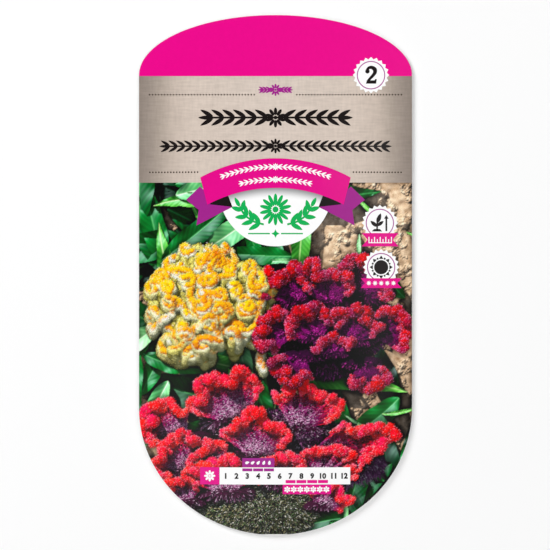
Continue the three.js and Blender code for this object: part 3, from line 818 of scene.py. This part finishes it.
PIXEL = 0.1
PRINT_PITCH = 0.2
LEFT, RIGHT = -WIDTH / 2, WIDTH / 2
ROWS = round((LABEL_FOOT - FOOT) / PIXEL)
COLUMNS = round((RIGHT - LEFT) / PIXEL)
GRID = np.meshgrid(LEFT + (np.arange(COLUMNS) + 0.5) * PIXEL, FOOT + (np.arange(ROWS) + 0.5) * PIXEL)
SUN = np.array([-0.42, 0.62, 0.66])
SUN /= np.linalg.norm(SUN)
SUN_LIGHT = 1.65 * np.array([1.0, 0.97, 0.9])
SKY_LIGHT = np.array([0.30, 0.33, 0.36])
GLINT_LIGHT = np.array([0.7, 0.85, 0.85])
VIVID = 1.16
BLACK_POINT = 0.006
GOLDEN_ANGLE = math.pi * (3 - math.sqrt(5))


def smooth(low, high, x):
    t = np.clip((x - low) / (high - low), 0, 1)
    return t * t * (3 - 2 * t)


def mix(a, b, t):
    t = np.asarray(t)[..., None]
    return a * (1 - t) + b * t


def unit(vectors):
    return vectors / (np.linalg.norm(vectors, axis=-1, keepdims=True) + 1e-9)


def filtered(field, low, high):
    """The part of a field whose wavelengths lie between low and high, in millimetres."""
    spectrum = np.fft.rfft2(field)
    across = np.fft.rfftfreq(field.shape[1], PIXEL)
    along = np.fft.fftfreq(field.shape[0], PIXEL)[:, None]
    f = np.hypot(across, along)
    keep = np.exp(-((f * low) ** 2)) - (np.exp(-((f * high) ** 2)) if high else 0)
    out = np.fft.irfft2(spectrum * keep, field.shape)
    return out / (out.std() + 1e-9) if high else out


def noise(seed, size):
    white = np.random.default_rng(seed).standard_normal((ROWS, COLUMNS))
    return filtered(white, size * 0.8, size * 1.6)


class Picture:
    """What the eye meets at each point: how near it is, which way it faces, and its colour."""

    def __init__(self):
        self.near = np.full((ROWS, COLUMNS), -40.0)
        self.face, self.colour = (np.zeros((ROWS, COLUMNS, 3)) for _ in range(2))
        self.gloss, self.fuzz = (np.zeros((ROWS, COLUMNS)) for _ in range(2))

    def put(self, points, face, colour, gloss=0.0, fuzz=0.0):
        """Loose points, of which the nearest at each place wins."""
        x, y, near = (points[..., i].ravel() for i in range(3))
        column = np.floor((x - LEFT) / PIXEL).astype(int)
        row = np.floor((y - FOOT) / PIXEL).astype(int)
        inside = (column >= 0) & (column < COLUMNS) & (row >= 0) & (row < ROWS)
        inside[inside] = near[inside] > self.near[row[inside], column[inside]]
        kept = np.flatnonzero(inside)
        kept = kept[np.argsort(near[kept], kind="stable")]
        spot = (row[kept], column[kept])
        self.near[spot], self.gloss[spot], self.fuzz[spot] = near[kept], gloss, fuzz
        for held, given in ((self.face, face), (self.colour, colour)):
            held[spot] = np.broadcast_to(given, points.shape).reshape(-1, 3)[kept]

    def surface(self, points, colour, gloss=0.0, fuzz=0.0):
        """A curved skin, given as a grid of points."""
        face = unit(np.cross(np.gradient(points, axis=0), np.gradient(points, axis=1)))
        self.put(points, face * np.where(face[..., 2:] < 0, -1, 1), colour, gloss, fuzz)

    def hairs(self, root, lean, length, root_colour, tip_colour, fuzz=0.3, width=1):
        """Fine hairs that grow from their roots along lean and take the light from above."""
        t = np.arange(0, 1.0001, PIXEL / (1.3 * np.max(length)))[None, :, None]
        points = root[:, None] + lean[:, None] * (length[:, None, None] * t)
        colour = (root_colour + 0 * root)[:, None] * (1 - t) + tip_colour[:, None] * t
        face = unit(lean * 0.5 + np.array([0, 0.1, 0.6]))[:, None] + np.zeros_like(points)
        for i in range(width):
            self.put(points + np.array([i * PIXEL, 0, 0]), face, colour, 0.0, fuzz)

    def knobs(self, centre, radius, dark, light, seed, *, grain, rough=0.25, fuzz=0.8, tone=0.0, lift=0.0):
        """Round velvet knobs, each darker at its foot than on its crown."""
        random = np.random.default_rng(seed)
        count = int(3.2 * (np.max(radius) / PIXEL) ** 2) + 6
        share = np.sqrt((np.arange(count) + 0.5) / count)
        turn = np.arange(count) * GOLDEN_ANGLE
        ray = stacked(share * np.cos(turn), share * np.sin(turn), np.sqrt(1 - share**2))
        bump = 1 + grain * random.standard_normal((len(centre), count))
        points = centre[:, None] + (radius[:, None] * bump)[..., None] * ray[None]
        up = lift * np.array([0, 0.4, 1])
        face = unit(ray[None] + rough * random.standard_normal(points.shape) + up)
        crown = 0.75 * ray[None, :, 2] + 0.1 * random.standard_normal((len(centre), 1))
        crown = crown + 0.06 * random.standard_normal(bump.shape) + np.reshape(tone, (-1, 1))
        dark, light = (np.broadcast_to(c, (len(centre), 3))[:, None] for c in (dark, light))
        self.put(points, face, mix(dark, light, np.clip(crown, 0, 1)), 0.0, fuzz)

    def shadow(self, reach=9.0, steps=36):
        """How much of the sun each point misses, from what stands between the two."""
        lost = np.zeros_like(self.near)
        for i in range(1, steps + 1):
            t = reach * (i / steps) ** 1.5 + 0.12
            row = np.clip(np.arange(ROWS) + round(SUN[1] * t / PIXEL), 0, ROWS - 1)
            column = np.clip(np.arange(COLUMNS) + round(SUN[0] * t / PIXEL), 0, COLUMNS - 1)
            over = self.near[row[:, None], column[None, :]] - (self.near + SUN[2] * t)
            here = np.clip((over - 0.05) / (0.25 + 0.08 * t), 0, 1) * np.clip(2 - over / 7, 0, 1)
            lost = np.maximum(lost, here)
        return lost

    def shade(self):
        """The light that each point sends to the eye."""
        open_share = 1 - self.shadow()
        hollow = 0
        for radius, weight in ((0.5, 0.5), (1.5, 0.35), (4, 0.14)):
            hollow += weight * np.clip(filtered(self.near, radius * 2.2, 0) - self.near, 0, 3)
        clear = np.exp(-hollow)[..., None]
        light = SUN_LIGHT * (np.clip(self.face @ SUN, 0, 1) * open_share)[..., None] + SKY_LIGHT * clear
        half = unit(SUN + np.array([0, 0, 1.0]))
        glint = np.clip(self.face @ half, 0, 1) ** 22 * self.gloss * open_share
        rim = (1 - self.face[..., 2]) ** 2 * self.fuzz
        colour = self.colour * (light + 0.5 * rim[..., None]) + glint[..., None] * GLINT_LIGHT
        colour = np.clip(colour * (0.35 + 0.65 * clear), 0, 1)
        colour = 0.55 * colour + 0.45 * smooth(0, 1, colour**0.75) ** 1.25
        grey = colour.mean(-1, keepdims=True)
        return np.clip(grey + VIVID * (colour - grey) - BLACK_POINT, 0, 1)


def wobble(random, s, lengths, size):
    """A smooth random line along s, made of a few waves of the given lengths."""
    total = np.zeros_like(s)
    for length in lengths:
        total += random.normal(0, 0.7) * np.sin(FULL_TURN * s / length + random.uniform(0, FULL_TURN))
        total += 0.7 * np.sin(FULL_TURN * s / (1.13 * length) + random.uniform(0, FULL_TURN))
    return size * total / math.sqrt(len(lengths))


def random_rays(random, shape):
    """Directions all round, on the viewer's side."""
    ray = random.standard_normal((*shape, 3))
    ray[..., 2] = np.abs(ray[..., 2])
    return unit(ray)


def tones(*colours):
    return [linear(colour) for colour in colours]


# The ground and the leaves


def soil(picture):
    ground = 1.6 * noise(1, 9) + 0.8 * noise(2, 3.2) + 0.25 * noise(3, 1.1) + 0.10 * noise(4, 0.45)
    clods = np.maximum(ground, 0.25 * noise(5, 5) - 0.3)
    tone = 0.55 + 0.13 * noise(6, 2.5) + 0.09 * noise(7, 0.5)
    dark, light = tones((150, 124, 102), (236, 212, 190))
    picture.surface(stacked(*GRID, -24 + 0.5 * clods), mix(dark, light, np.clip(tone, 0, 1)))


# Each kind's dark and light green and the colour of its veins
LEAF_DEEP = tones((0, 26, 16), (6, 70, 36), (36, 104, 62))
LEAF_SHADE = tones((4, 60, 30), (30, 126, 62), (92, 166, 104))
LEAF_SUN = tones((36, 112, 44), (120, 192, 100), (190, 226, 160))
LEAF_MINT = tones((70, 150, 96), (160, 214, 160), (206, 238, 200))
LEAF_RISE, LEAF_DROOP, LEAF_FOLD = 0.1, 0.25, 0.35


def leaf(picture, root, angle, length, width, colours, seed, bend):
    """A long leaf with a pale midrib, side veins and a wavy edge."""
    random = np.random.default_rng(seed)
    dark, light, vein_colour = colours
    along = np.linspace(0, 1, int(length / PIXEL * 1.7))[:, None]
    across = np.linspace(-1, 1, int(width / PIXEL * 1.9))[None, :]
    edge = np.abs(across)
    cos, sin = math.cos(math.radians(angle)), math.sin(math.radians(angle))
    half = width / 2 * np.sin(math.pi * along**0.72) ** 0.85 * (1 - 0.15 * along)
    reach = across * half * (1 + 0.05 * np.sin(along * 19 + random.uniform(0, 6) + 2 * across))
    aside = reach + bend * length * along**2
    x = root[0] + cos * along * length - sin * aside
    y = root[1] + sin * along * length + cos * aside
    near = root[2] + LEAF_RISE * length * along - LEAF_DROOP * length * along**2.4
    near = near + LEAF_FOLD * half * edge**1.2
    near = near + 0.10 * width * np.sin(along * 24 + random.uniform(0, 6)) * edge**2
    ridges = 0.5 + 0.5 * np.cos((along * length - edge * half * 1.15) * FULL_TURN / (0.16 * width + 0.7))
    near = near + 0.04 * ridges * edge**0.5
    tone = 0.45 + 0.3 * (1 - ridges) * edge**0.5 + 0.12 * across * random.choice([-1, 1])
    tone = tone + 0.25 * np.sin(along * random.uniform(3, 7) + random.uniform(0, 6))
    rib = np.clip(1.2 - np.abs(reach) / (0.03 * width + 0.1), 0, 1)
    colour = mix(mix(dark, light, np.clip(tone, 0, 1)), vein_colour, 0.8 * rib)
    picture.surface(stacked(x, y, near + np.zeros_like(x)), colour, gloss=0.36)


def foliage(picture, count, seed, box, near, width, slim, kinds):
    """Leaves strewn over a box of left, right, foot and top."""
    random = np.random.default_rng(seed)
    for i in range(count):
        x, y = random.uniform(*box[:2]), random.uniform(*box[2:])
        across = random.uniform(*width)
        length = across * random.uniform(*slim)
        turn, bend = random.uniform(0, 360), random.uniform(-0.35, 0.35)
        kind = kinds[random.integers(len(kinds))]
        leaf(picture, (x, y, random.uniform(*near)), turn, length, across, kind, seed + i, bend)


# The cockscombs


def brush(picture, centre, reach, tall, seed, root, tips, *, down=0.7, length=2.6, thick=0.12, density=30):
    """A low mass of bristle that hangs a little: the body under the folds of a crest."""
    random = np.random.default_rng(seed)
    count = int(density * reach * tall)
    share = np.sqrt(random.uniform(0, 1, count))
    turn = random.uniform(0, FULL_TURN, count)
    edge = 1 + wobble(random, turn, [3.1, 2.1, 1.1], 0.05)
    x, y = share * np.cos(turn) * edge, share * np.sin(turn) * edge
    near = centre[2] + thick * reach * np.sqrt(1 - share**2) + random.normal(0, 0.5, count)
    spot = stacked(centre[0] + reach * x, centre[1] + tall * y, near)
    under = spot[:: max(1, count // 900)] - np.array([0, 0, 1.6])
    picture.knobs(under, np.full(len(under), 1.5), root * 0.4, root * 0.8, seed, grain=0.08, fuzz=0.1)
    lean = unit(stacked(x, y - down, np.full(count, 0.5)) + random.normal(0, 0.35, (count, 3)))
    which = random.integers(len(tips), size=count)
    tip = mix(root, np.array(tips)[which], random.uniform(0.05, 1, count) ** 1.4)
    picture.hairs(spot, lean, length * random.uniform(0.4, 1, count), root * 0.7, tip, width=2)


def fan(picture, centre, reach, turn, spread, palette, seed, tall, lobe, wild, silver):
    """One fold of a cockscomb: a fan of bristle whose winding rim carries a velvet crest."""
    random = np.random.default_rng(seed)
    half, turn = math.radians(spread) / 2, math.radians(turn)
    t = np.linspace(-half, half, int(2 * half * reach / PIXEL * 1.8))
    s = t * reach
    narrow = (1 - 0.3 * (np.abs(t) / half) ** 3) * (1 + random.uniform(-0.18, 0.18) * np.sin(t))
    rough = wobble(random, s, [23, 12], 0.07 * reach / 14) * reach + wobble(random, s, [6.5, 4.2], 0.8)
    swing = t + wobble(random, s, [7, 4.6], 1.0 * wild) / reach
    depth = wobble(random, s, [13, 6.5, 4], 1.3 * wild)

    def place(share, index):
        radius = share * (reach * narrow[index] + wild * rough[index] * share**3)
        x = centre[0] + radius * np.cos(turn + swing[index])
        y = centre[1] + radius * np.sin(turn + swing[index]) * tall
        return stacked(x, y, centre[2] + 0.35 * reach * share**1.6 + depth[index] * share**4)

    index = np.arange(len(t))
    shares = np.linspace(0.02, 1, int(reach / PIXEL * 1.6))
    picture.surface(place(shares[:, None], index[None, :]), palette.deep, fuzz=0.1)

    count = int(half * reach * reach * 26)
    share = random.uniform(0, 1, count) ** 0.6 * 0.98
    pick = random.integers(0, len(t), count)
    root = place(share, pick)
    way = turn + swing[pick] + random.normal(0, 0.2, count)
    flat = random.uniform(0.4, 1, count)
    grow = unit(stacked(np.cos(way) * flat, np.sin(way) * flat * 0.7 - 0.25, np.full(count, 0.5)))
    pale = smooth(silver, silver - 0.6, share + random.normal(0, 0.1, count))
    glow = smooth(0.5, 0.95, share + random.normal(0, 0.09, count))
    body = mix(palette.flank, mix(palette.blush, palette.crest, glow), 0.85 * glow)
    bright = np.where(random.random(count) < 0.12 + 0.5 * pale, random.uniform(0.35, 1, count), 0.06)
    tip = mix(body, palette.bristle, bright * (0.35 + 0.65 * pale))
    foot = mix(palette.deep, body, 0.35 * random.random(count))
    length = random.uniform(0.4, 1, count) * (0.7 + 2.1 * (1 - share) ** 1.5)
    picture.hairs(root, grow, length, foot, tip, width=2)
    base = np.array(centre) + np.array([0, -0.02 * reach, 0.4])
    tufts = [palette.bristle, mix(palette.flank, palette.bristle, 0.5), palette.flank]
    root = mix(palette.deep, palette.flank, 0.25)
    brush(picture, base, 0.62 * reach, 0.1 * reach, seed + 3000, root, tufts, length=0.17 * reach, down=0.9)

    crest(picture, place(np.ones(len(t)), index), palette, seed + 1000, lobe)
    inner = 0.9 + np.clip(wobble(random, s, [5, 3.2], 0.03), -0.07, 0.05)
    crest(picture, place(inner, index) - np.array([0, 0, 0.5]), palette, seed + 1500, 0.8 * lobe)
    for i in range(int(half * reach / 4)):
        start = random.integers(len(t) // 8, 7 * len(t) // 8)
        shares = np.linspace(1, random.uniform(0.72, 0.86), 40)
        slide = np.clip(start + np.linspace(0, random.normal(0, 18), 40).astype(int), 0, len(t) - 1)
        tongue = place(shares, slide) + np.linspace(0.2, 0.9, 40)[:, None] * np.array([0, 0, 1])
        crest(picture, tongue, palette, seed + 2000 + i, 0.72 * lobe)


def downy(picture, random, centre, size, count, hue, down, pale, flat=1.0, dim=1.0, fuzz=0.4):
    """Short hairs all over a row of knobs, some of them as pale as down."""
    pick = random.integers(0, len(centre), count)
    ray = unit(random_rays(random, (count,)) * np.array([1, 1, flat]))
    root = centre[pick] + ray * size[pick][:, None]
    tip = mix(hue[pick], down, pale(random.random(count)))
    picture.hairs(root, ray, random.uniform(0.2, 0.5, count), hue[pick] * dim, tip, fuzz=fuzz)


def crest(picture, line, palette, seed, lobe):
    """A thick soft roll along a line, with folds and fine lobes on it and a pale down over all."""
    random = np.random.default_rng(seed)
    path = np.concatenate([[0], np.cumsum(np.hypot(*np.diff(line[:, :2], axis=0).T))])
    spots = np.arange(0.3, path[-1], 0.3 * lobe)
    pick = np.clip(np.searchsorted(path, spots), 0, len(line) - 1)
    taper = np.clip(np.sin(math.pi * spots / path[-1]), 0.02, 1) ** 0.4
    size = lobe * np.clip(taper * (1 + wobble(random, spots, [9, 4.5, 2.6], 0.22)), 0.3, 1.6)
    centre = line[pick] + random.normal(0, 0.16 * lobe, (len(pick), 3))
    centre[:, 1] += wobble(random, spots, [5, 3.1], 0.35 * lobe)
    centre[:, 2] += wobble(random, spots, [6, 3.4], 0.5 * lobe)
    blush = np.clip(0.45 + wobble(random, spots, [26, 11, 5], 0.3) + random.normal(0, 0.1, len(spots)), 0, 1)
    hue = mix(palette.crest, palette.blush, blush)
    picture.knobs(centre, size, palette.crest_dark, hue, seed, grain=0.03, rough=0.15, tone=0.05)
    finer = 9
    ray = random_rays(random, (len(centre), finer))
    small = (centre[:, None] + ray * (size * 0.85)[:, None, None]).reshape(-1, 3)
    tone = (0.3 * ray[..., 2] + 0.3 * ray[..., 1]).ravel() + random.normal(0, 0.1, len(small)) + 0.15
    small_size = (random.uniform(0.2, 0.38, (len(centre), finer)) * size[:, None]).ravel()
    light = np.repeat(hue, finer, 0)
    dim = mix(palette.crest_dark, light, 0.4)
    picture.knobs(small, small_size, dim, light, seed + 1, grain=0.04, rough=0.2, tone=tone)
    pale = lambda share: 0.8 * share**2
    downy(picture, random, centre, size, int(path[-1] * 110), hue, palette.down, pale, dim=0.9, fuzz=0.6)


def maze_crest(picture, centre, reach, tall, palette, seed, number, lobe, steps):
    """A cockscomb broken up into short winding ridges, each on a wall of pale wool."""
    random = np.random.default_rng(seed)
    turns = [(k, random.normal(), random.uniform(0, FULL_TURN)) for k in (2, 3, 5, 7)]

    def dome(x, y):
        angle = np.arctan2(y / tall, x / reach)
        edge = 1 + sum(0.06 * size * np.sin(k * angle + phase) for k, size, phase in turns)
        radius = np.hypot(x / reach, y / tall) / edge
        lumps = np.sin(x / 2.3 + 1.1 * np.sin(y / 3.1)) * np.sin(y / 2.7 + 0.9 * np.sin(x / 3.7))
        return centre[2] + 0.4 * reach * np.sqrt(np.clip(1 - radius**2, 0, 1)) + 1.3 * lumps, radius

    count = int(14 * reach * tall)
    x, y = random.uniform(-1.25, 1.25, count) * reach, random.uniform(-1.25, 1.25, count) * tall
    top, radius = dome(x, y)
    spot = stacked(centre[0] + x, centre[1] + y, top - 2.6 + random.normal(0, 0.7, count))[radius < 0.92]
    size = random.uniform(0.5, 1.5, len(spot))
    picture.knobs(spot, size, palette.wool_dark, palette.wool, seed, grain=0.1, tone=-0.05)
    tufts = 5
    spot = np.repeat(spot, tufts, 0)
    rays = random_rays(random, (len(spot),))
    tips = mix(palette.wool, palette.wool_light, random.random(len(spot)))
    root = spot + rays * np.repeat(size, tufts)[:, None]
    picture.hairs(root, rays, random.uniform(0.3, 0.9, len(spot)), palette.wool, tips)

    for each in range(number):
        x, y = random.uniform(-1, 1) * reach, random.uniform(-1, 1) * tall
        if dome(x, y)[1] > 1:
            continue
        angle, bend = random.uniform(0, FULL_TURN), random.normal(0, 0.3)
        curl = random.choice([-1, 1]) * random.uniform(0.1, 0.5)
        path = []
        for _ in range(int(random.uniform(*steps))):
            bend = 0.7 * bend + 0.3 * curl + random.normal(0, 0.16)
            angle += bend
            x += 0.5 * lobe * math.cos(angle)
            y += 0.5 * lobe * math.sin(angle)
            path.append((x, y))
        x, y = np.array(path).T
        top, radius = dome(x, y)
        top = top + random.uniform(-0.2, 1.9) - 1.2 * radius**3
        ridge(picture, stacked(centre[0] + x, centre[1] + y, top), palette, seed + 7 * each, lobe)


def ridge(picture, spot, palette, seed, lobe):
    """One winding ridge: a wall of wool with a rounded golden crest on it."""
    random = np.random.default_rng(seed)
    wool = mix(palette.wool, palette.wool_light, np.clip(random.normal(0.6, 0.3), 0, 1))
    for deep, wide in ((3.2, 1.1), (2.4, 1.05), (1.6, 1.0), (0.8, 0.95)):
        under = spot - np.array([0, 0.55 * deep, deep])
        size = lobe * wide * random.uniform(0.9, 1.15, len(spot))
        tone = 0.35 - 0.15 * deep
        picture.knobs(under, size, palette.wool_dark, wool, seed, grain=0.1, tone=tone, lift=1)
    taper = np.sin(math.pi * np.linspace(0.12, 0.88, len(spot))) ** 0.3
    size = lobe * taper * random.uniform(0.8, 1.05, len(spot))
    jitter = random.normal(0, 0.10, spot.shape)
    tone = np.clip(random.normal(0.08, 0.1), -0.1, 0.25)
    hue = mix(palette.crest, palette.blush, np.clip(random.normal(0.4, 0.3), 0, 1))
    picture.knobs(spot + jitter, 0.85 * size, palette.crest_dark, hue, seed + 1, grain=0.07, tone=tone)
    hue = hue + np.zeros_like(spot)
    pale = lambda share: 0.3 + 0.7 * share
    downy(picture, random, spot, 0.75 * size, 22 * len(spot), hue, palette.down, pale, flat=0.35)


def palette_of(**colours):
    return SimpleNamespace(**{name: linear(colour) for name, colour in colours.items()})


CORAL = palette_of(
    deep=(52, 4, 46),
    flank=(118, 14, 92),
    bristle=(228, 196, 220),
    crest_dark=(140, 6, 38),
    crest=(255, 68, 52),
    blush=(240, 50, 104),
    down=(255, 190, 200),
)
CRIMSON = palette_of(
    deep=(38, 4, 48),
    flank=(112, 10, 98),
    bristle=(226, 110, 190),
    crest_dark=(74, 2, 40),
    crest=(194, 10, 36),
    blush=(128, 4, 78),
    down=(255, 180, 222),
)
GOLD = palette_of(
    wool_dark=(104, 96, 40),
    wool=(242, 228, 146),
    wool_light=(255, 252, 220),
    crest_dark=(214, 110, 0),
    crest=(255, 160, 0),
    blush=(255, 194, 40),
    down=(255, 240, 170),
)

# Where the folds of each head stand: x, y, how near, reach, turn and spread in degrees, how tall,
# how thick the crest is and how wild it winds
CRIMSON_FOLDS = [
    (8, -8, -5, 12, 120, 120, 0.85, 1.4, 1.5),
    (25, -7, -5, 13, 62, 120, 0.9, 1.5, 1.5),
    (16, -9, -3, 12, 88, 110, 0.9, 1.2, 1.6),
    (30, -18, 0, 11, 20, 120, 0.9, 1.3, 1.6),
    (5, -18, 0, 10, 165, 130, 0.85, 1.3, 1.6),
    (13, -19, 2, 10, 112, 130, 0.85, 1.4, 1.6),
    (23, -20, 2, 11, 66, 120, 0.8, 1.2, 1.7),
    (18, -24, 3, 7, 95, 150, 0.7, 1.1, 1.7),
    (9, -25, 1, 9, 232, 100, 0.9, 1.3, 1.5),
    (26, -27, 1, 9, 295, 100, 0.9, 1.2, 1.5),
]
CORAL_FOLDS = [
    (-12, -45, -4, 17, 112, 120, 0.85, 1.35, 1.0),
    (6, -47, -5, 15, 70, 110, 0.9, 1.2, 1.3),
    (-28, -50, -2, 13, 140, 120, 0.9, 1.3, 1.2),
    (8, -57, -1, 25, 22, 62, 0.75, 1.3, 0.9),
    (-6, -56, 1, 15, 84, 120, 0.8, 1.25, 1.2),
    (-27, -61, 1, 12, 120, 150, 0.9, 1.1, 1.4),
    (-15, -59, 3, 11, 150, 110, 0.8, 1.1, 1.5),
    (13, -62, 3, 13, 58, 120, 0.7, 1.0, 1.3),
    (2, -64, 5, 11, 110, 140, 0.75, 1.1, 1.5),
    (-15, -67, 5, 13, 100, 130, 0.8, 1.15, 1.3),
    (-27, -70, 5, 8, 130, 150, 0.9, 0.9, 1.5),
    (14, -71, 4, 8, 50, 140, 0.8, 0.9, 1.4),
]


def cockscomb(picture, folds, palette, seed, silver):
    for i, (x, y, near, reach, turn, spread, *shape) in enumerate(folds):
        fan(picture, (x, y, near), reach, turn, spread, palette, seed + i, *shape, silver)


def paint_picture():
    picture = Picture()
    soil(picture)
    beyond = 4
    right_edge = (8, RIGHT + beyond, FOOT, -30)
    left_side = (LEFT - beyond, 6, FOOT, LABEL_FOOT + beyond)
    everywhere = (LEFT - beyond, RIGHT + beyond, FOOT, LABEL_FOOT + beyond)
    far, middle, close = (-24, -21), (-20, -16), (-14, -9)
    for count, seed, box, near, width, slim, kinds in (
        (40, 50, left_side, far, (8, 12), (3, 4.2), [LEAF_DEEP]),
        (16, 80, right_edge, far, (8, 12), (3, 4.2), [LEAF_DEEP]),
        (30, 100, left_side, middle, (7, 11), (3, 4.2), [LEAF_SHADE]),
        (14, 200, right_edge, middle, (7, 11), (3, 4.2), [LEAF_SHADE]),
        (24, 300, left_side, close, (4.5, 8), (3.4, 5), [LEAF_SUN, LEAF_SHADE, LEAF_MINT]),
        (12, 400, everywhere, close, (4.5, 7), (3.4, 5), [LEAF_SHADE, LEAF_SUN, LEAF_MINT]),
        (20, 500, everywhere, close, (1, 1.7), (9, 16), [LEAF_SUN, LEAF_MINT]),
    ):
        foliage(picture, count, seed, box, near, width, slim, kinds)

    maze_crest(picture, (-20, -8, -4), 20, 17, GOLD, 33, number=105, lobe=1.3, steps=(8, 22))

    root, *wine = tones((50, 8, 56), (120, 30, 90), (60, 6, 60), (190, 100, 170))
    brush(picture, (17, -16, -7), 17, 14, 905, root, wine, density=45)
    cockscomb(picture, CRIMSON_FOLDS, CRIMSON, 41, 0.45)

    root, edge, *lilac = tones((70, 32, 68), (96, 56, 92), (214, 196, 208), (170, 120, 160), (120, 60, 110))
    brush(picture, (0, -52, -7), 27, 9, 900, root, lilac)
    brush(picture, (-3, -61, -2), 27, 9, 901, root, lilac)
    brush(picture, (21, -58, -1), 12, 5, 903, edge, lilac, length=3.4, down=1.3)
    root, *straw = tones((60, 62, 46), (246, 242, 232), (176, 168, 136), (124, 150, 112))
    low = dict(length=1.5, down=0.2, thick=0.2, density=40)
    brush(picture, (-5, -71, 1), 19, 10, 902, root, straw, **low)
    cockscomb(picture, CORAL_FOLDS, CORAL, 60, 0.75)
    return picture.shade()


# The picture's points as print


def sampled(colours, x, y):
    """The picture's colour at any place, between its points."""
    column = np.clip((x - LEFT) / PIXEL - 0.5, 0, COLUMNS - 1.001)
    row = np.clip((y - FOOT) / PIXEL - 0.5, 0, ROWS - 1.001)
    left, low = column.astype(int), row.astype(int)
    across = column - left
    bottom = mix(colours[low, left], colours[low, left + 1], across)
    top = mix(colours[low + 1, left], colours[low + 1, left + 1], across)
    return mix(bottom, top, row - low)


def make_picture(colours):
    """Lays the painted picture on the front in strips, so that no piece grows too large. The first
    strip stands for all the solids of the picture."""
    names = ["ink_picture_ground", "ink_soil"]
    names += ["ink_leaves_" + place for place in ("left", "middle", "foot_left", "foot_right")]
    names += [f"ink_{kind}_{part}" for kind in ("yellow", "crimson", "coral") for part in ("flank", "crest")]
    strips = 5
    heights = np.linspace(FOOT, LABEL_FOOT, strips + 1)
    for i, (low, high) in enumerate(zip(heights, heights[1:])):
        x, y = outline_grid(low, high, PRINT_PITCH)
        points = stacked(x, y, film_top(x, y)).reshape(-1, 3)
        solids = [] if i else names
        strip = mesh_piece(f"print_picture_{i + 1}", points, grid_faces(*x.shape), "painted", solids)
        paint = strip.data.color_attributes.new("paint", "FLOAT_COLOR", "POINT")
        found = np.ones((len(points), 4), np.float32)
        found[:, :3] = sampled(colours, points[:, 0], points[:, 1])
        paint.data.foreach_set("color", found.ravel())


# Camera, floor and light

PHOTO_PIXELS = 550
PIXEL_IN_PHOTO = 0.3078
PACKET_MIDDLE_PIXEL = 275.5
LIGHT_DISTANCE = 1.6
KEY_SIZE = 0.8
FILL_SIZE = 1.2
FILL_ELEVATION = 62
KEY_POWER = 13
FILL_POWER = 7.8
WORLD_STRENGTH = 0.2


def make_floor():
    half, gap = 3, 0.00005
    mesh = bpy.data.meshes.new("floor")
    corners = [[-half, -half, 0], [half, -half, 0], [half, half, 0], [-half, half, 0]]
    mesh.from_pydata(corners, [], [[0, 1, 2, 3]])
    floor = placed("floor", mesh)
    floor.location.z = -gap
    finish = Finish("floor_white")
    matt = {"Base Color": (0.97, 0.97, 0.97, 1), "Roughness": 1, "Specular IOR Level": 0}
    finish.feed(finish.shader, matt)
    mesh.materials.append(finish.material)


def make_camera():
    data = bpy.data.cameras.new("camera")
    data.lens = 100
    data.sensor_width = 36
    distance = PHOTO_PIXELS * PIXEL_IN_PHOTO * data.lens / data.sensor_width
    camera = placed("camera", data)
    aside = (PHOTO_PIXELS / 2 - PACKET_MIDDLE_PIXEL) * PIXEL_IN_PHOTO
    camera.location = (aside * MM, 0, (FLAT_TOP + distance) * MM)
    bpy.context.scene.camera = camera


def make_light(name, azimuth, elevation, size, power):
    data = bpy.data.lights.new(name, "AREA")
    data.shape = "DISK"
    data.size = size
    data.energy = power
    light = placed(name, data)
    turn, lift = math.radians(azimuth), math.radians(elevation)
    place = Vector((math.cos(turn) * math.cos(lift), math.sin(turn) * math.cos(lift), math.sin(lift)))
    light.location = place * LIGHT_DISTANCE
    light.rotation_euler = place.to_track_quat("Z", "Y").to_euler()


def make_lights():
    make_light("key", 134, 44, KEY_SIZE, KEY_POWER)
    for name, azimuth in (("fill_right", 10), ("fill_foot", 240)):
        make_light(name, azimuth, FILL_ELEVATION, FILL_SIZE, FILL_POWER)
    world = bpy.data.worlds.new("world")
    world.use_nodes = True
    background = world.node_tree.nodes["Background"]
    background.inputs["Color"].default_value = (1, 1, 1, 1)
    background.inputs["Strength"].default_value = WORLD_STRENGTH
    bpy.context.scene.world = world
    bpy.context.scene.view_settings.view_transform = "Standard"


make_pouch()
dress_frame()
make_sachet()
make_seeds()
make_label_print()
make_emblem()
make_badges()
make_calendar()
make_picture(paint_picture())
make_floor()
make_camera()
make_lights()
